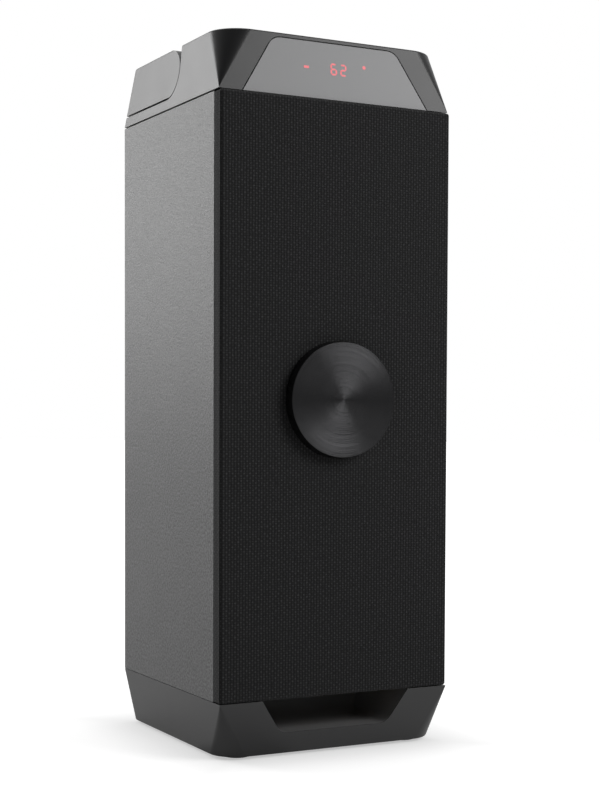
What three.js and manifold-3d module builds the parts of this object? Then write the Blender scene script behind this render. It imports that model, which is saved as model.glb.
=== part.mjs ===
// Tower party speaker: a wrapped cabinet between two tapered mouldings, with a swinging carry handle.
// Millimetres, +Z up, the front faces -Y, the origin is on the floor at the middle of the whole object.

import * as THREE from "three";
import Module from "manifold-3d";
import { ConvexGeometry } from "three/addons/geometries/ConvexGeometry.js";
import { mergeVertices } from "three/addons/utils/BufferGeometryUtils.js";

// Driving dimensions
const bodyWidth = 260;
const cabinetDepth = 244;
const cabinetHeight = 598;
const grilleDepth = 16;
const capHeight = 62;
const baseHeight = 55;
const seamGap = 1.2;
const fitGap = 0.3;
const runningGap = 0.4;
const cutOverrun = 2;
const boardThick = 12;
const shellWall = 3;

// Tapered mouldings: how far each end draws in, and the radius of its corners at the narrow end
const taper = {
  capFrontSetback: 5,
  capSideInset: 6,
  capFrontInset: 7,
  capFrontRadius: 29,
  baseSideInset: 6,
  baseFrontInset: 9,
  baseFrontRadius: 27,
  rearRadius: 16,
  edge: 1.6,
  spigotInset: 5,
  spigotWall: 3,
};

// Grille: a moulded frame wrapped in knitted cloth, with a turned disc on its central boss
const grille = {
  clothThick: 1.2,
  rim: 14,
  bridge: 28,
  windowRadius: 20,
  ribWidth: 4,
  ribDepth: 3,
  ribReach: 46,
  pegRadius: 4,
  pegLength: 9,
  pegInset: 7,
  bossRadius: 30,
  bossClear: 2,
};
const disc = { radius: 58.5, proud: 12, face: 2, wall: 2.2, chamfer: 2.4, dish: 0.8, rise: 5 };

// Carry handle: a U that turns on two shoulder pins
const grip = {
  pivotBehindMiddle: 10,
  pivotHeight: 39.5,
  endRadius: 28,
  drop: 27,
  endGap: 0.8,
  armWidth: 18,
  sideGap: 1.2,
  barDepth: 26,
  fingerGap: 34,
  scoopRadius: 18,
  scoopHeight: 15,
  scoopEnd: 22,
  pinRadius: 5,
  pinHeadRadius: 8,
  pinHead: 3,
  pinReach: 12,
};

// Display window in the cap's front face
const display = {
  bottomHalf: 104.5,
  topHalf: 69,
  height: 57.5,
  corner: 9,
  thick: 2,
  lineGap: 0.6,
  wall: 6,
  slotWidth: 92,
  slotHeight: 18,
  slotCentre: 32,
  boardWidth: 120,
  boardHeight: 34,
  boardThick: 1.6,
  digitWidth: 11,
  digitHeight: 15,
  digitPitch: 14,
  lampRadius: 2.5,
  lampOffset: 34,
};

// Controls on the cap's top
const controls = {
  topWall: 5,
  width: 176,
  depth: 100,
  corner: 14,
  behindMiddle: -22,
  thick: 2.4,
  ledge: 4,
  postRadius: 3.5,
  postInset: 15,
  boardWidth: 158,
  boardDepth: 84,
  boardThick: 1.6,
  boardDrop: 10,
  switchSize: 6,
  switchHeight: 4.3,
};
const button = {
  radius: 7,
  flange: 8.4,
  flangeThick: 1.2,
  stem: 2,
  proud: 1.2,
  travel: 0.8,
  edge: 0.7,
  ring: 46,
};
const knob = {
  radius: 25,
  height: 13,
  lift: 0.8,
  edge: 1.6,
  skirt: 2,
  skirtHeight: 3,
  markWidth: 1.6,
  markDepth: 0.8,
  markLength: 9,
  shaftRadius: 3,
  shaftTop: 3,
  bushRadius: 4.5,
  bodySize: 14,
  bodyHeight: 6.5,
  boreFloor: 2,
};

// Bass port: a slot in the base that turns up into the cabinet
const port = {
  topHalf: 83.5,
  bottomHalf: 61,
  depth: 33.5,
  corner: 9,
  reach: 96,
  backRadius: 26,
  wall: 3,
  throatDepth: 40,
  throatHalf: 58,
  ductWall: 3,
  ductHeight: 84,
  ductLip: 3,
};
const foot = { radius: 14, height: 8, proud: 3, inset: 34, seatWall: 3, edge: 1.2 };

// Loudspeakers, measured forward from the front of the baffle
const baffleThick = 15;
const woofer = {
  flangeRadius: 78,
  flangeInner: 64.5,
  flangeThick: 3.2,
  cutRadius: 69,
  cageRadius: 66.5,
  cageFoot: 40,
  cageDepth: 46,
  cageWall: 1.5,
  plateThick: 5,
  cageWindowHalf: 16,
  coneRadius: 53,
  coneDepth: 26,
  coneThick: 1,
  rollHeight: 4.5,
  rollThick: 1,
  rollLand: 5,
  capRadius: 20,
  capHeight: 7,
  capThick: 1,
  spiderOuter: 36,
  spiderDepth: 31,
  spiderThick: 0.8,
  spiderWave: 1.4,
  coilRadius: 13,
  coilThick: 0.9,
  coilLength: 30,
  gap: 0.8,
  magnetRadius: 42,
  magnetBore: 19,
  magnetThick: 15,
  yokeThick: 5,
};
const tweeter = {
  flangeRadius: 30,
  flangeThick: 3,
  hornRadius: 24,
  hornDepth: 7,
  canRadius: 19,
  canDepth: 26,
  domeRadius: 12.5,
  domeRise: 5,
  domeThick: 1.2,
  lip: 1.5,
};

// Rear: input panel with its sockets and switch, and the electronics behind it
const rear = {
  plateProud: 2.4,
  width: 150,
  height: 190,
  corner: 8,
  above: 178,
  lap: 10,
  rim: 6,
  postRadius: 4,
  postLength: 34,
  postInset: 20,
};
const jack = { nose: 7.5, bore: 3.3, boreEnd: 3, depth: 28, body: 20, across: 24, fromTop: 30 };
const inlet = { width: 30, height: 22, depth: 24, mouthWidth: 16.6, mouthHeight: 8.8, mouthDepth: 15 };
const inletPin = { radius: 1.2, apart: 8.6, length: 9 };
const socketRow = { fromBottom: 23, across: 30 };
const rocker = {
  width: 19,
  height: 13,
  housingWidth: 25,
  housingHeight: 21,
  depth: 20,
  well: 12,
  pinDepth: 5,
  pinRadius: 1.6,
  pinReach: 2,
  reach: 4,
  faceGap: 0.2,
};
const rockerTilt = 8;
const amplifier = {
  width: 122,
  height: 96,
  thick: 1.6,
  above: 6,
  canRadius: 9,
  canHeight: 24,
  canAcross: 34,
  canBelow: 26,
};
const heatsink = { width: 96, depth: 22, height: 40, foot: 4, finThick: 2.4, above: 20 };
const supply = {
  width: 30,
  depth: 110,
  thick: 2,
  coreWidth: 26,
  coreDepth: 38,
  coreHeight: 34,
  fromBattery: 3,
};
const battery = { width: 151, depth: 65, height: 94, corner: 4, fromRear: 18 };

// Shapes given as shares and counts
const windowShare = 0.62;
const underWooferShare = 0.62;
const betweenDriversShare = 0.18;
const domeShares = [0, 0.33, 0.67];
const rollSteps = 3;
const spiderSteps = 5;
const spiderWaves = 1.5;
const driverSides = 22;
const basketWindows = 6;
const heatsinkFins = 8;

// Places that follow from the sizes above
const turn = 2 * Math.PI;
const quarter = Math.PI / 2;
const degree = Math.PI / 180;
const halfWidth = bodyWidth / 2;
const halfDepth = (cabinetDepth + grilleDepth) / 2;
const overallDepth = disc.proud + grilleDepth + cabinetDepth + rear.plateProud;
const rearY = overallDepth / 2 - rear.plateProud;
const baffleY = rearY - cabinetDepth;
const middleY = rearY - halfDepth;
const baseZ = foot.proud;
const cabinetZ = baseZ + baseHeight + seamGap;
const capZ = cabinetZ + cabinetHeight + seamGap;
const boardHalf = halfWidth - boardThick - fitGap;
const trayTop = grip.pivotHeight - grip.endRadius - grip.endGap;
const islandHalf = halfWidth - taper.capSideInset - grip.armWidth - grip.sideGap;
const barInnerY = halfDepth - taper.capSideInset - grip.barDepth;
const islandRear = barInnerY - grip.fingerGap;
const frontTilt = Math.atan2(taper.capFrontInset, capHeight);

// The drivers share the height between the grille's bridge and its rim.
const driverRoom =
  cabinetHeight / 2 -
  grille.clothThick -
  fitGap -
  grille.rim -
  grille.bridge / 2 -
  2 * woofer.flangeRadius -
  2 * tweeter.flangeRadius;
const wooferOffset = grille.bridge / 2 + driverRoom * underWooferShare + woofer.flangeRadius;
const tweeterOffset =
  wooferOffset + woofer.flangeRadius + driverRoom * betweenDriversShare + tweeter.flangeRadius;

const finish = {
  satinPlastic: { color: 0x55565a, roughness: 0.42, metalness: 0 },
  darkPlastic: { color: 0x2e2f31, roughness: 0.5, metalness: 0 },
  vinyl: { color: 0x47484b, roughness: 0.6, metalness: 0 },
  fibreboard: { color: 0x8a6a48, roughness: 0.9, metalness: 0 },
  cloth: { color: 0x1b1b1d, roughness: 0.95, metalness: 0 },
  anodised: { color: 0x2a2a2c, roughness: 0.3, metalness: 0.9 },
  smoked: { color: 0x6c6d70, roughness: 0.12, metalness: 0 },
  rubber: { color: 0x1c1c1c, roughness: 0.85, metalness: 0 },
  steel: { color: 0x9a9c9f, roughness: 0.35, metalness: 1 },
  paper: { color: 0x222224, roughness: 0.9, metalness: 0 },
  ferrite: { color: 0x333335, roughness: 0.7, metalness: 0.1 },
  copper: { color: 0xa8622c, roughness: 0.4, metalness: 0.8 },
  circuit: { color: 0x1f5a38, roughness: 0.5, metalness: 0 },
  aluminium: { color: 0xb5b7ba, roughness: 0.4, metalness: 1 },
  silk: { color: 0x18181a, roughness: 0.6, metalness: 0 },
};

const wasm = await Module();
wasm.setup();

// Six times the signed volume that one triangle adds.
function tripleProduct(points, a, b, c) {
  const [ax, ay, az] = points.subarray(3 * a, 3 * a + 3);
  const [bx, by, bz] = points.subarray(3 * b, 3 * b + 3);
  const [cx, cy, cz] = points.subarray(3 * c, 3 * c + 3);
  return ax * (by * cz - bz * cy) + ay * (bz * cx - bx * cz) + az * (bx * cy - by * cx);
}

// A closed geometry as a solid, with the flat triangles at its poles dropped and its faces pointing out.
function solidOf(geometry) {
  const bare = geometry.clone();
  bare.deleteAttribute("normal");
  bare.deleteAttribute("uv");
  const merged = mergeVertices(bare);
  const vertProperties = new Float32Array(merged.attributes.position.array);
  const triangles = [];
  let volume = 0;
  for (let i = 0; i < merged.index.count; i += 3) {
    const [a, b, c] = [0, 1, 2].map((k) => merged.index.getX(i + k));
    if (a === b || b === c || c === a) continue;
    triangles.push([a, b, c]);
    volume += tripleProduct(vertProperties, a, b, c);
  }
  const triVerts = Uint32Array.from(triangles.flatMap((t) => (volume < 0 ? [t[0], t[2], t[1]] : t)));
  return new wasm.Manifold(new wasm.Mesh({ numProp: 3, vertProperties, triVerts }));
}

function geometryOf(solid) {
  const mesh = solid.getMesh();
  const geometry = new THREE.BufferGeometry();
  geometry.setAttribute("position", new THREE.BufferAttribute(mesh.vertProperties, mesh.numProp));
  geometry.setIndex(new THREE.BufferAttribute(mesh.triVerts, 1));
  geometry.computeVertexNormals();
  return geometry;
}

function joined(...solids) {
  return solids.reduce((sum, solid) => sum.add(solid));
}

function cut(solid, ...tools) {
  return tools.reduce((rest, tool) => rest.subtract(tool), solid);
}

// A box between two opposite corners.
function block([x0, y0, z0], [x1, y1, z1]) {
  const geometry = new THREE.BoxGeometry(x1 - x0, y1 - y0, z1 - z0);
  return solidOf(geometry.translate((x0 + x1) / 2, (y0 + y1) / 2, (z0 + z1) / 2));
}

// A box that is centred on x = 0.
function centred(halfX, [y0, y1], [z0, z1]) {
  return block([-halfX, y0, z0], [halfX, y1, z1]);
}

// An outline in (x, y) carried up from z0 to z1.
function prismZ(outline, z0, z1, curveSegments = 6) {
  const settings = { depth: z1 - z0, bevelEnabled: false, curveSegments };
  return new THREE.ExtrudeGeometry(outline, settings).translate(0, 0, z0);
}

// An outline in (x, z) carried back from y0 to y1.
function prismY(outline, y0, y1, curveSegments = 6) {
  return prismZ(outline, 0, y1 - y0, curveSegments).rotateX(quarter).translate(0, y1, 0);
}

// An outline in (y, z) carried across from x0 to x1.
function prismX(outline, x0, x1, curveSegments = 6) {
  return prismZ(outline, 0, x1 - x0, curveSegments).rotateX(quarter).rotateZ(quarter).translate(x0, 0, 0);
}

// A round bar along z, y or x between two places on its axis.
function rodZ(radius, z0, z1, [x, y] = [0, 0], sides = 24) {
  const bar = new THREE.CylinderGeometry(radius, radius, z1 - z0, sides);
  return solidOf(bar.rotateX(quarter).translate(x, y, (z0 + z1) / 2));
}

function rodY(radius, y0, y1, [x, z] = [0, 0], sides = 24) {
  const bar = new THREE.CylinderGeometry(radius, radius, y1 - y0, sides);
  return solidOf(bar.translate(x, (y0 + y1) / 2, z));
}

function rodX(radius, x0, x1, [y, z] = [0, 0], sides = 24) {
  const bar = new THREE.CylinderGeometry(radius, radius, x1 - x0, sides);
  return solidOf(bar.rotateZ(quarter).translate((x0 + x1) / 2, y, z));
}

// A closed profile of (radius, height) points turned about y, or about z for an upright piece.
function turned(profile, sides, upright = false) {
  const points = profile.map(([radius, height]) => new THREE.Vector2(radius, height));
  const closed = profile[0][0] > 0 ? [...points, points[0].clone()] : points;
  const geometry = new THREE.LatheGeometry(closed, sides);
  return solidOf(upright ? geometry.rotateX(quarter) : geometry);
}

// Corners given as [x, y, distance cut back from the corner], joined by soft bends.
function softOutline(corners) {
  const outline = new THREE.Shape();
  const count = corners.length;
  const stepFrom = ([x, y, back], [towardX, towardY]) => {
    const reach = back / Math.hypot(towardX - x, towardY - y);
    return [x + (towardX - x) * reach, y + (towardY - y) * reach];
  };
  corners.forEach((corner, i) => {
    const into = stepFrom(corner, corners[(i + count - 1) % count]);
    const out = stepFrom(corner, corners[(i + 1) % count]);
    if (i === 0) outline.moveTo(...into);
    else outline.lineTo(...into);
    if (corner[2] > 0) outline.quadraticCurveTo(corner[0], corner[1], ...out);
  });
  outline.closePath();
  return outline;
}

function softRectangle([x0, x1], [y0, y1], corner) {
  return softOutline([
    [x0, y0, corner],
    [x1, y0, corner],
    [x1, y1, corner],
    [x0, y1, corner],
  ]);
}

function straightOutline(points) {
  return new THREE.Shape(points.map(([x, y]) => new THREE.Vector2(x, y)));
}

// One level of a tapered moulding: its plan, part of the way from the sharp end to the rounded end.
function planBetween(wide, narrow, along) {
  const mix = (name) => wide[name] + (narrow[name] - wide[name]) * along;
  return {
    half: mix("half"),
    front: mix("front"),
    rear: mix("rear"),
    frontRadius: mix("frontRadius"),
    rearRadius: mix("rearRadius"),
  };
}

// The same plan drawn in by a distance on every side.
function drawnIn(plan, by) {
  return {
    half: plan.half - by,
    front: plan.front + by,
    rear: plan.rear - by,
    frontRadius: Math.max(plan.frontRadius - by, 0),
    rearRadius: Math.max(plan.rearRadius - by, 0),
  };
}

function planPoints(plan, z, steps) {
  const corners = [
    [1, plan.rear - plan.rearRadius, plan.rearRadius],
    [-1, plan.rear - plan.rearRadius, plan.rearRadius],
    [-1, plan.front + plan.frontRadius, plan.frontRadius],
    [1, plan.front + plan.frontRadius, plan.frontRadius],
  ];
  return corners.flatMap(([side, y, radius], i) => {
    const count = radius > 0 ? steps : 0;
    return Array.from({ length: count + 1 }, (_, k) => {
      const angle = quarter * (i + (count ? k / count : 0));
      const x = side * (plan.half - radius);
      return new THREE.Vector3(x + radius * Math.cos(angle), y + radius * Math.sin(angle), z);
    });
  });
}

// A block that is sharp-cornered at its wide end, at z0, and round-cornered at its narrow end, at z1,
// so that each upright corner is a slice of a cone. The narrow end's rim has a small slanted edge.
function taperedBlock(wide, narrow, z0, z1, edge, steps = 6) {
  const rise = z1 - z0;
  const edgeShare = edge / Math.abs(rise);
  const points = [
    ...planPoints(wide, z0, steps),
    ...planPoints(planBetween(wide, narrow, 1 - edgeShare), z1 - rise * edgeShare, steps),
    ...planPoints(drawnIn(narrow, edge), z1, steps),
  ];
  return solidOf(new ConvexGeometry(points));
}

// A rectangular ring that seats a moulding on the cabinet, inside the visible seam.
function spigot(front, z0, z1) {
  const outside = taper.spigotInset;
  const inside = outside + taper.spigotWall;
  return cut(
    centred(halfWidth - outside, [front + outside, halfDepth - outside], [z0, z1]),
    centred(halfWidth - inside, [front + inside, halfDepth - inside], [z0 - cutOverrun, z1 + cutOverrun]),
  );
}

const model = new THREE.Group();

function groupAt(parent, x, y, z) {
  const group = new THREE.Group();
  group.position.set(x, y, z);
  parent.add(group);
  return group;
}

function addPiece(parent, name, solid, look) {
  const mesh = new THREE.Mesh(geometryOf(solid), new THREE.MeshStandardMaterial(finish[look]));
  mesh.name = name;
  parent.add(mesh);
  return mesh;
}

// Base moulding
const baseWide = { half: halfWidth, front: -halfDepth, rear: halfDepth, frontRadius: 0, rearRadius: 0 };
const baseNarrow = {
  half: halfWidth - taper.baseSideInset,
  front: -halfDepth + taper.baseFrontInset,
  rear: halfDepth - taper.baseSideInset,
  frontRadius: taper.baseFrontRadius,
  rearRadius: taper.rearRadius,
};
const portBackY = -halfDepth + port.reach;
const footPlaces = {
  front_left: [-1, -1],
  front_right: [1, -1],
  rear_left: [-1, 1],
  rear_right: [1, 1],
};

// The slot's outline in (x, z), wide at the top, grown by a wall where one is asked for.
function portOutline(grow, top) {
  const bottom = baseHeight - port.depth - grow;
  return softOutline([
    [-port.topHalf - grow, top, 0],
    [-port.bottomHalf - grow, bottom, port.corner],
    [port.bottomHalf + grow, bottom, port.corner],
    [port.topHalf + grow, top, 0],
  ]);
}

// The slot's side view in (y, z): a flat floor that sweeps up at the back.
function portSweep(grow) {
  const floor = baseHeight - port.depth - grow;
  const back = portBackY + grow;
  const sweep = new THREE.Shape();
  sweep.moveTo(-halfDepth - cutOverrun, floor);
  sweep.lineTo(back - port.backRadius, floor);
  sweep.absarc(back - port.backRadius, floor + port.backRadius, port.backRadius, -quarter, 0, false);
  sweep.lineTo(back, baseHeight + cutOverrun);
  sweep.lineTo(-halfDepth - cutOverrun, baseHeight + cutOverrun);
  sweep.closePath();
  return sweep;
}

function portSpace(grow) {
  const across = port.topHalf + grow + cutOverrun;
  const slot = prismY(portOutline(grow, baseHeight), -halfDepth - cutOverrun, portBackY + grow + cutOverrun);
  const above = centred(port.topHalf + grow, [-halfDepth - cutOverrun, portBackY + grow], [
    baseHeight - fitGap,
    baseHeight + cutOverrun,
  ]);
  return joined(solidOf(slot), above).intersect(solidOf(prismX(portSweep(grow), -across, across)));
}

function footPlace([sideX, sideY]) {
  return [sideX * (halfWidth - foot.inset), sideY * (halfDepth - foot.inset)];
}

function footBoss(place) {
  const boss = rodZ(foot.radius + foot.seatWall, 0, baseHeight - shellWall, place, 20);
  const seat = rodZ(foot.radius + fitGap, -cutOverrun, foot.height - foot.proud + fitGap, place, 20);
  return [boss, seat];
}

function baseShell() {
  const outside = taperedBlock(baseWide, baseNarrow, baseHeight, 0, taper.edge);
  const insidePlans = [drawnIn(baseWide, shellWall), drawnIn(baseNarrow, shellWall)];
  const hollow = taperedBlock(...insidePlans, baseHeight - shellWall, -cutOverrun, taper.edge, 4);
  const bosses = Object.values(footPlaces).map((place) => footBoss(footPlace(place)));
  const kept = joined(portSpace(port.wall).intersect(outside), ...bosses.map(([boss]) => boss));
  const rim = spigot(-halfDepth, baseHeight - shellWall, baseHeight + seamGap - fitGap);
  const shell = joined(cut(outside, cut(hollow, kept)), rim);
  return cut(shell, portSpace(0), ...bosses.map(([, seat]) => seat));
}

function rubberFoot() {
  return turned(
    [
      [0, 0],
      [foot.radius - foot.edge, 0],
      [foot.radius, foot.edge],
      [foot.radius, foot.height],
      [0, foot.height],
    ],
    16,
  );
}

function addBase() {
  const base = groupAt(model, 0, middleY, baseZ);
  addPiece(base, "base_shell", baseShell(), "darkPlastic");
  for (const [corner, sides] of Object.entries(footPlaces)) {
    const mesh = addPiece(base, `foot_${corner}`, rubberFoot(), "rubber");
    const [x, y] = footPlace(sides);
    mesh.position.set(x, y, -foot.proud);
    mesh.rotation.x = quarter;
  }
}

// Cabinet boards, in a group whose origin is at the bottom of the back
const throatY = -cabinetDepth - grilleDepth + port.reach - port.throatDepth;
const innerTop = cabinetHeight - boardThick - fitGap;
const innerBottom = boardThick + fitGap;
const boardBack = -boardThick - fitGap;

function sidePanel(side) {
  const inner = side * (halfWidth - boardThick);
  const outer = side * halfWidth;
  return block([Math.min(inner, outer), -cabinetDepth, 0], [Math.max(inner, outer), 0, cabinetHeight]);
}

function topBoard() {
  return centred(boardHalf, [-cabinetDepth, boardBack], [cabinetHeight - boardThick, cabinetHeight]);
}

function throatHole(grow, z0, z1) {
  const ends = [throatY - grow, throatY + port.throatDepth + grow];
  return centred(port.throatHalf + grow, ends, [z0, z1]);
}

function bottomBoard() {
  const hole = throatHole(port.ductWall + fitGap, -cutOverrun, boardThick + cutOverrun);
  return cut(centred(boardHalf, [-cabinetDepth, boardBack], [0, boardThick]), hole);
}

function portDuct() {
  const head = port.ductHeight;
  const tube = throatHole(port.ductWall, fitGap, head);
  const lip = throatHole(port.ductWall + port.ductLip, innerBottom, innerBottom + port.ductLip);
  return cut(joined(tube, lip), throatHole(0, -cutOverrun, head + cutOverrun));
}

function rearPanel() {
  const panel = centred(boardHalf, [-boardThick, 0], [0, cabinetHeight]);
  const halfOpen = rear.width / 2 - rear.lap;
  const tallOpen = rear.height / 2 - rear.lap;
  const openZ = [rear.above - tallOpen, rear.above + tallOpen];
  const opening = softRectangle([-halfOpen, halfOpen], openZ, rear.corner);
  return cut(panel, solidOf(prismY(opening, -boardThick - cutOverrun, cutOverrun)));
}

const pegPlaces = [-1, 1].flatMap((sideX) =>
  [-1, 0, 1].map((sideZ) => [
    sideX * (boardHalf - grille.pegInset),
    sideZ * (cabinetHeight / 2 - boardThick - fitGap - grille.pegInset),
  ]),
);

function frontBaffle() {
  const middle = cabinetHeight / 2;
  const front = -cabinetDepth;
  const through = [front - cutOverrun, front + baffleThick + cutOverrun];
  const board = centred(boardHalf, [front, front + baffleThick], [innerBottom, innerTop]);
  const driverHoles = [-1, 1].map((side) =>
    rodY(woofer.cutRadius, ...through, [0, middle + side * wooferOffset], driverSides),
  );
  const hornHole = rodY(tweeter.canRadius + fitGap, ...through, [0, middle + tweeterOffset], 20);
  const pegHoles = pegPlaces.map(([x, z]) => rodY(grille.pegRadius + fitGap, ...through, [x, middle + z], 8));
  return cut(board, ...driverHoles, hornHole, ...pegHoles);
}

function addCabinet() {
  const cabinet = groupAt(model, 0, rearY, cabinetZ);
  addPiece(cabinet, "left_side_panel", sidePanel(-1), "vinyl");
  addPiece(cabinet, "right_side_panel", sidePanel(1), "vinyl");
  addPiece(cabinet, "top_board", topBoard(), "fibreboard");
  addPiece(cabinet, "bottom_board", bottomBoard(), "fibreboard");
  addPiece(cabinet, "front_baffle", frontBaffle(), "fibreboard");
  addPiece(cabinet, "rear_panel", rearPanel(), "vinyl");
  addPiece(cabinet, "port_duct", portDuct(), "darkPlastic");
}

// Grille, in a group whose origin is at the front edge of the cabinet's floor
const clothFront = -grilleDepth;
const frameFront = clothFront + grille.clothThick + fitGap;
const frameHalf = halfWidth - grille.clothThick - fitGap;
const frameLow = grille.clothThick + fitGap;
const frameHigh = cabinetHeight - grille.clothThick - fitGap;
const discZ = cabinetHeight / 2;

function grilleCloth() {
  const outside = centred(halfWidth, [clothFront, -fitGap], [0, cabinetHeight]);
  const inside = centred(halfWidth - grille.clothThick, [clothFront + grille.clothThick, cutOverrun], [
    grille.clothThick,
    cabinetHeight - grille.clothThick,
  ]);
  return cut(outside, inside, rodY(grille.bossRadius + fitGap, clothFront - cutOverrun, 0, [0, discZ], 24));
}

// The frame: a rim, a bridge at mid-height that carries the disc's boss, and ribs that keep the cloth flat.
function grilleFrame() {
  const windowHalf = frameHalf - grille.rim;
  const spans = [
    [frameLow + grille.rim, discZ - grille.bridge / 2],
    [discZ + grille.bridge / 2, frameHigh - grille.rim],
  ];
  const windows = spans.map(([z0, z1]) => {
    const outline = softRectangle([-windowHalf, windowHalf], [z0, z1], grille.windowRadius);
    return solidOf(prismY(outline, frameFront - cutOverrun, cutOverrun, 3));
  });
  const ribDeep = [frameFront, frameFront + grille.ribDepth];
  const ribHalf = grille.ribWidth / 2;
  const uprights = [-1, 1].map((side) => {
    const x = side * grille.ribReach;
    return block([x - ribHalf, ribDeep[0], frameLow], [x + ribHalf, ribDeep[1], frameHigh]);
  });
  const crossings = spans.map(([z0, z1]) => {
    const z = (z0 + z1) / 2;
    return centred(frameHalf, ribDeep, [z - ribHalf, z + ribHalf]);
  });
  const bossFront = clothFront - disc.proud + disc.face + disc.rise;
  const boss = rodY(grille.bossRadius, bossFront, -woofer.flangeThick - grille.bossClear, [0, discZ], 24);
  const pegEnds = [-fitGap - cutOverrun, grille.pegLength];
  const pegs = pegPlaces.map(([x, z]) => rodY(grille.pegRadius, ...pegEnds, [x, discZ + z], 8));
  const plate = centred(frameHalf, [frameFront, -fitGap], [frameLow, frameHigh]);
  return joined(cut(plate, ...windows), ...uprights, ...crossings, boss, ...pegs);
}

// The disc is a shallow turned cup, slightly dished, with a socket that fits over the boss.
function centreDisc() {
  const back = fitGap;
  const front = disc.proud;
  const socket = grille.bossRadius + fitGap;
  const floor = front - disc.face - disc.rise + fitGap;
  return turned(
    [
      [0, floor],
      [socket, floor],
      [socket, back],
      [socket + disc.wall, back],
      [socket + disc.wall, front - disc.face - disc.dish],
      [disc.radius - disc.wall, front - disc.face - disc.dish],
      [disc.radius - disc.wall, back],
      [disc.radius, back],
      [disc.radius, front - disc.chamfer / 2],
      [disc.radius - disc.chamfer, front],
      [0, front - disc.dish],
    ],
    36,
  );
}

function addGrille() {
  const front = groupAt(model, 0, baffleY, cabinetZ);
  addPiece(front, "grille_frame", grilleFrame(), "darkPlastic");
  addPiece(front, "grille_cloth", grilleCloth(), "cloth");
  const plate = addPiece(front, "centre_disc", centreDisc(), "anodised");
  plate.position.set(0, clothFront, discZ);
  plate.rotation.x = Math.PI;
}

// Cap moulding and its handle
const capWide = {
  half: halfWidth,
  front: -halfDepth + taper.capFrontSetback,
  rear: halfDepth,
  frontRadius: 0,
  rearRadius: 0,
};
const capNarrow = {
  half: halfWidth - taper.capSideInset,
  front: capWide.front + taper.capFrontInset,
  rear: halfDepth - taper.capSideInset,
  frontRadius: taper.capFrontRadius,
  rearRadius: taper.rearRadius,
};
const pivot = [grip.pivotBehindMiddle, grip.pivotHeight];
const beyond = halfWidth + cutOverrun;

function capEnvelope() {
  return taperedBlock(capWide, capNarrow, 0, capHeight, taper.edge);
}

// Side view in (y, z) of the space round the handle: an upright wall, a quarter round and a flat tray.
function handleSpace() {
  const [y, z] = pivot;
  const radius = grip.endRadius + grip.endGap;
  const space = new THREE.Shape();
  space.moveTo(y - radius, capHeight + cutOverrun);
  space.lineTo(y - radius, z);
  space.absarc(y, z, radius, 2 * quarter, 3 * quarter, false);
  space.lineTo(halfDepth + cutOverrun, trayTop);
  space.lineTo(halfDepth + cutOverrun, capHeight + cutOverrun);
  space.closePath();
  return space;
}

// Side view of the handle: its front end is one arc about the pivot.
function handleOutline() {
  const [y, z] = pivot;
  const above = Math.asin((capHeight - z) / grip.endRadius);
  const below = Math.asin(grip.drop / grip.endRadius);
  const outline = new THREE.Shape();
  outline.absarc(y, z, grip.endRadius, 2 * quarter - above, 2 * quarter + below, false);
  outline.lineTo(halfDepth + cutOverrun, z - grip.drop);
  outline.lineTo(halfDepth + cutOverrun, capHeight);
  outline.closePath();
  return outline;
}

// The island under the controls, which the handle's arms pass on both sides.
function island() {
  return centred(islandHalf, [capNarrow.front, islandRear], [0, capHeight + cutOverrun]);
}

function capHollow() {
  const wall = display.wall;
  const front = (z) => capWide.front + wall + (taper.capFrontInset * z) / capHeight;
  const top = capHeight - controls.topWall;
  const room = straightOutline([
    [front(-cutOverrun), -cutOverrun],
    [islandRear - shellWall, -cutOverrun],
    [islandRear - shellWall, top],
    [front(top), top],
  ]);
  const skirtTop = trayTop - shellWall;
  const behind = [islandRear - shellWall - cutOverrun, halfDepth - taper.capSideInset];
  const skirt = centred(islandHalf - shellWall, behind, [-cutOverrun, skirtTop]);
  return joined(solidOf(prismX(room, -islandHalf + shellWall, islandHalf - shellWall)), skirt);
}

// The window's outline in (x, z), grown all round and carried on below its bottom edge.
function windowOutline(grow, below) {
  const lean = (display.bottomHalf - display.topHalf) / display.height;
  const side = (z) => display.bottomHalf - lean * z + grow * Math.hypot(1, lean);
  const top = display.height + grow;
  return softOutline([
    [-side(-below), -below, 0],
    [side(-below), -below, 0],
    [side(top), top, display.corner],
    [-side(top), top, display.corner],
  ]);
}

// A piece drawn against an upright front face, leaned back to lie on the cap's front face.
function leant(geometry) {
  return geometry.rotateX(-frontTilt).translate(0, capWide.front, 0);
}

function windowRecess() {
  const deep = display.thick + display.lineGap;
  const recess = prismY(windowOutline(display.lineGap, cutOverrun), -cutOverrun, deep);
  const half = display.slotWidth / 2;
  const ends = [display.slotCentre - display.slotHeight / 2, display.slotCentre + display.slotHeight / 2];
  const slot = prismY(softRectangle([-half, half], ends, 0), 0, display.wall + cutOverrun);
  return [solidOf(leant(recess)), solidOf(leant(slot))];
}

function panelOutline(draw) {
  const y = controls.behindMiddle;
  const halfX = controls.width / 2 - draw;
  const halfY = controls.depth / 2 - draw;
  return softRectangle([-halfX, halfX], [y - halfY, y + halfY], controls.corner - draw / 2);
}

function capShell() {
  const space = cut(solidOf(prismX(handleSpace(), -beyond, beyond, 10)), island());
  const seat = prismZ(panelOutline(-fitGap), capHeight - controls.thick - fitGap, capHeight + cutOverrun);
  const opening = prismZ(panelOutline(controls.ledge), capHeight - controls.topWall - cutOverrun, capHeight);
  const pinEnd = islandHalf + cutOverrun;
  const pinHoles = rodX(grip.pinRadius + fitGap, -pinEnd, pinEnd, pivot, 16);
  const rim = spigot(capWide.front, -seamGap + fitGap, trayTop - shellWall);
  const shell = joined(cut(capEnvelope(), space, capHollow()), rim);
  return cut(shell, ...windowRecess(), solidOf(seat), solidOf(opening), pinHoles);
}

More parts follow.
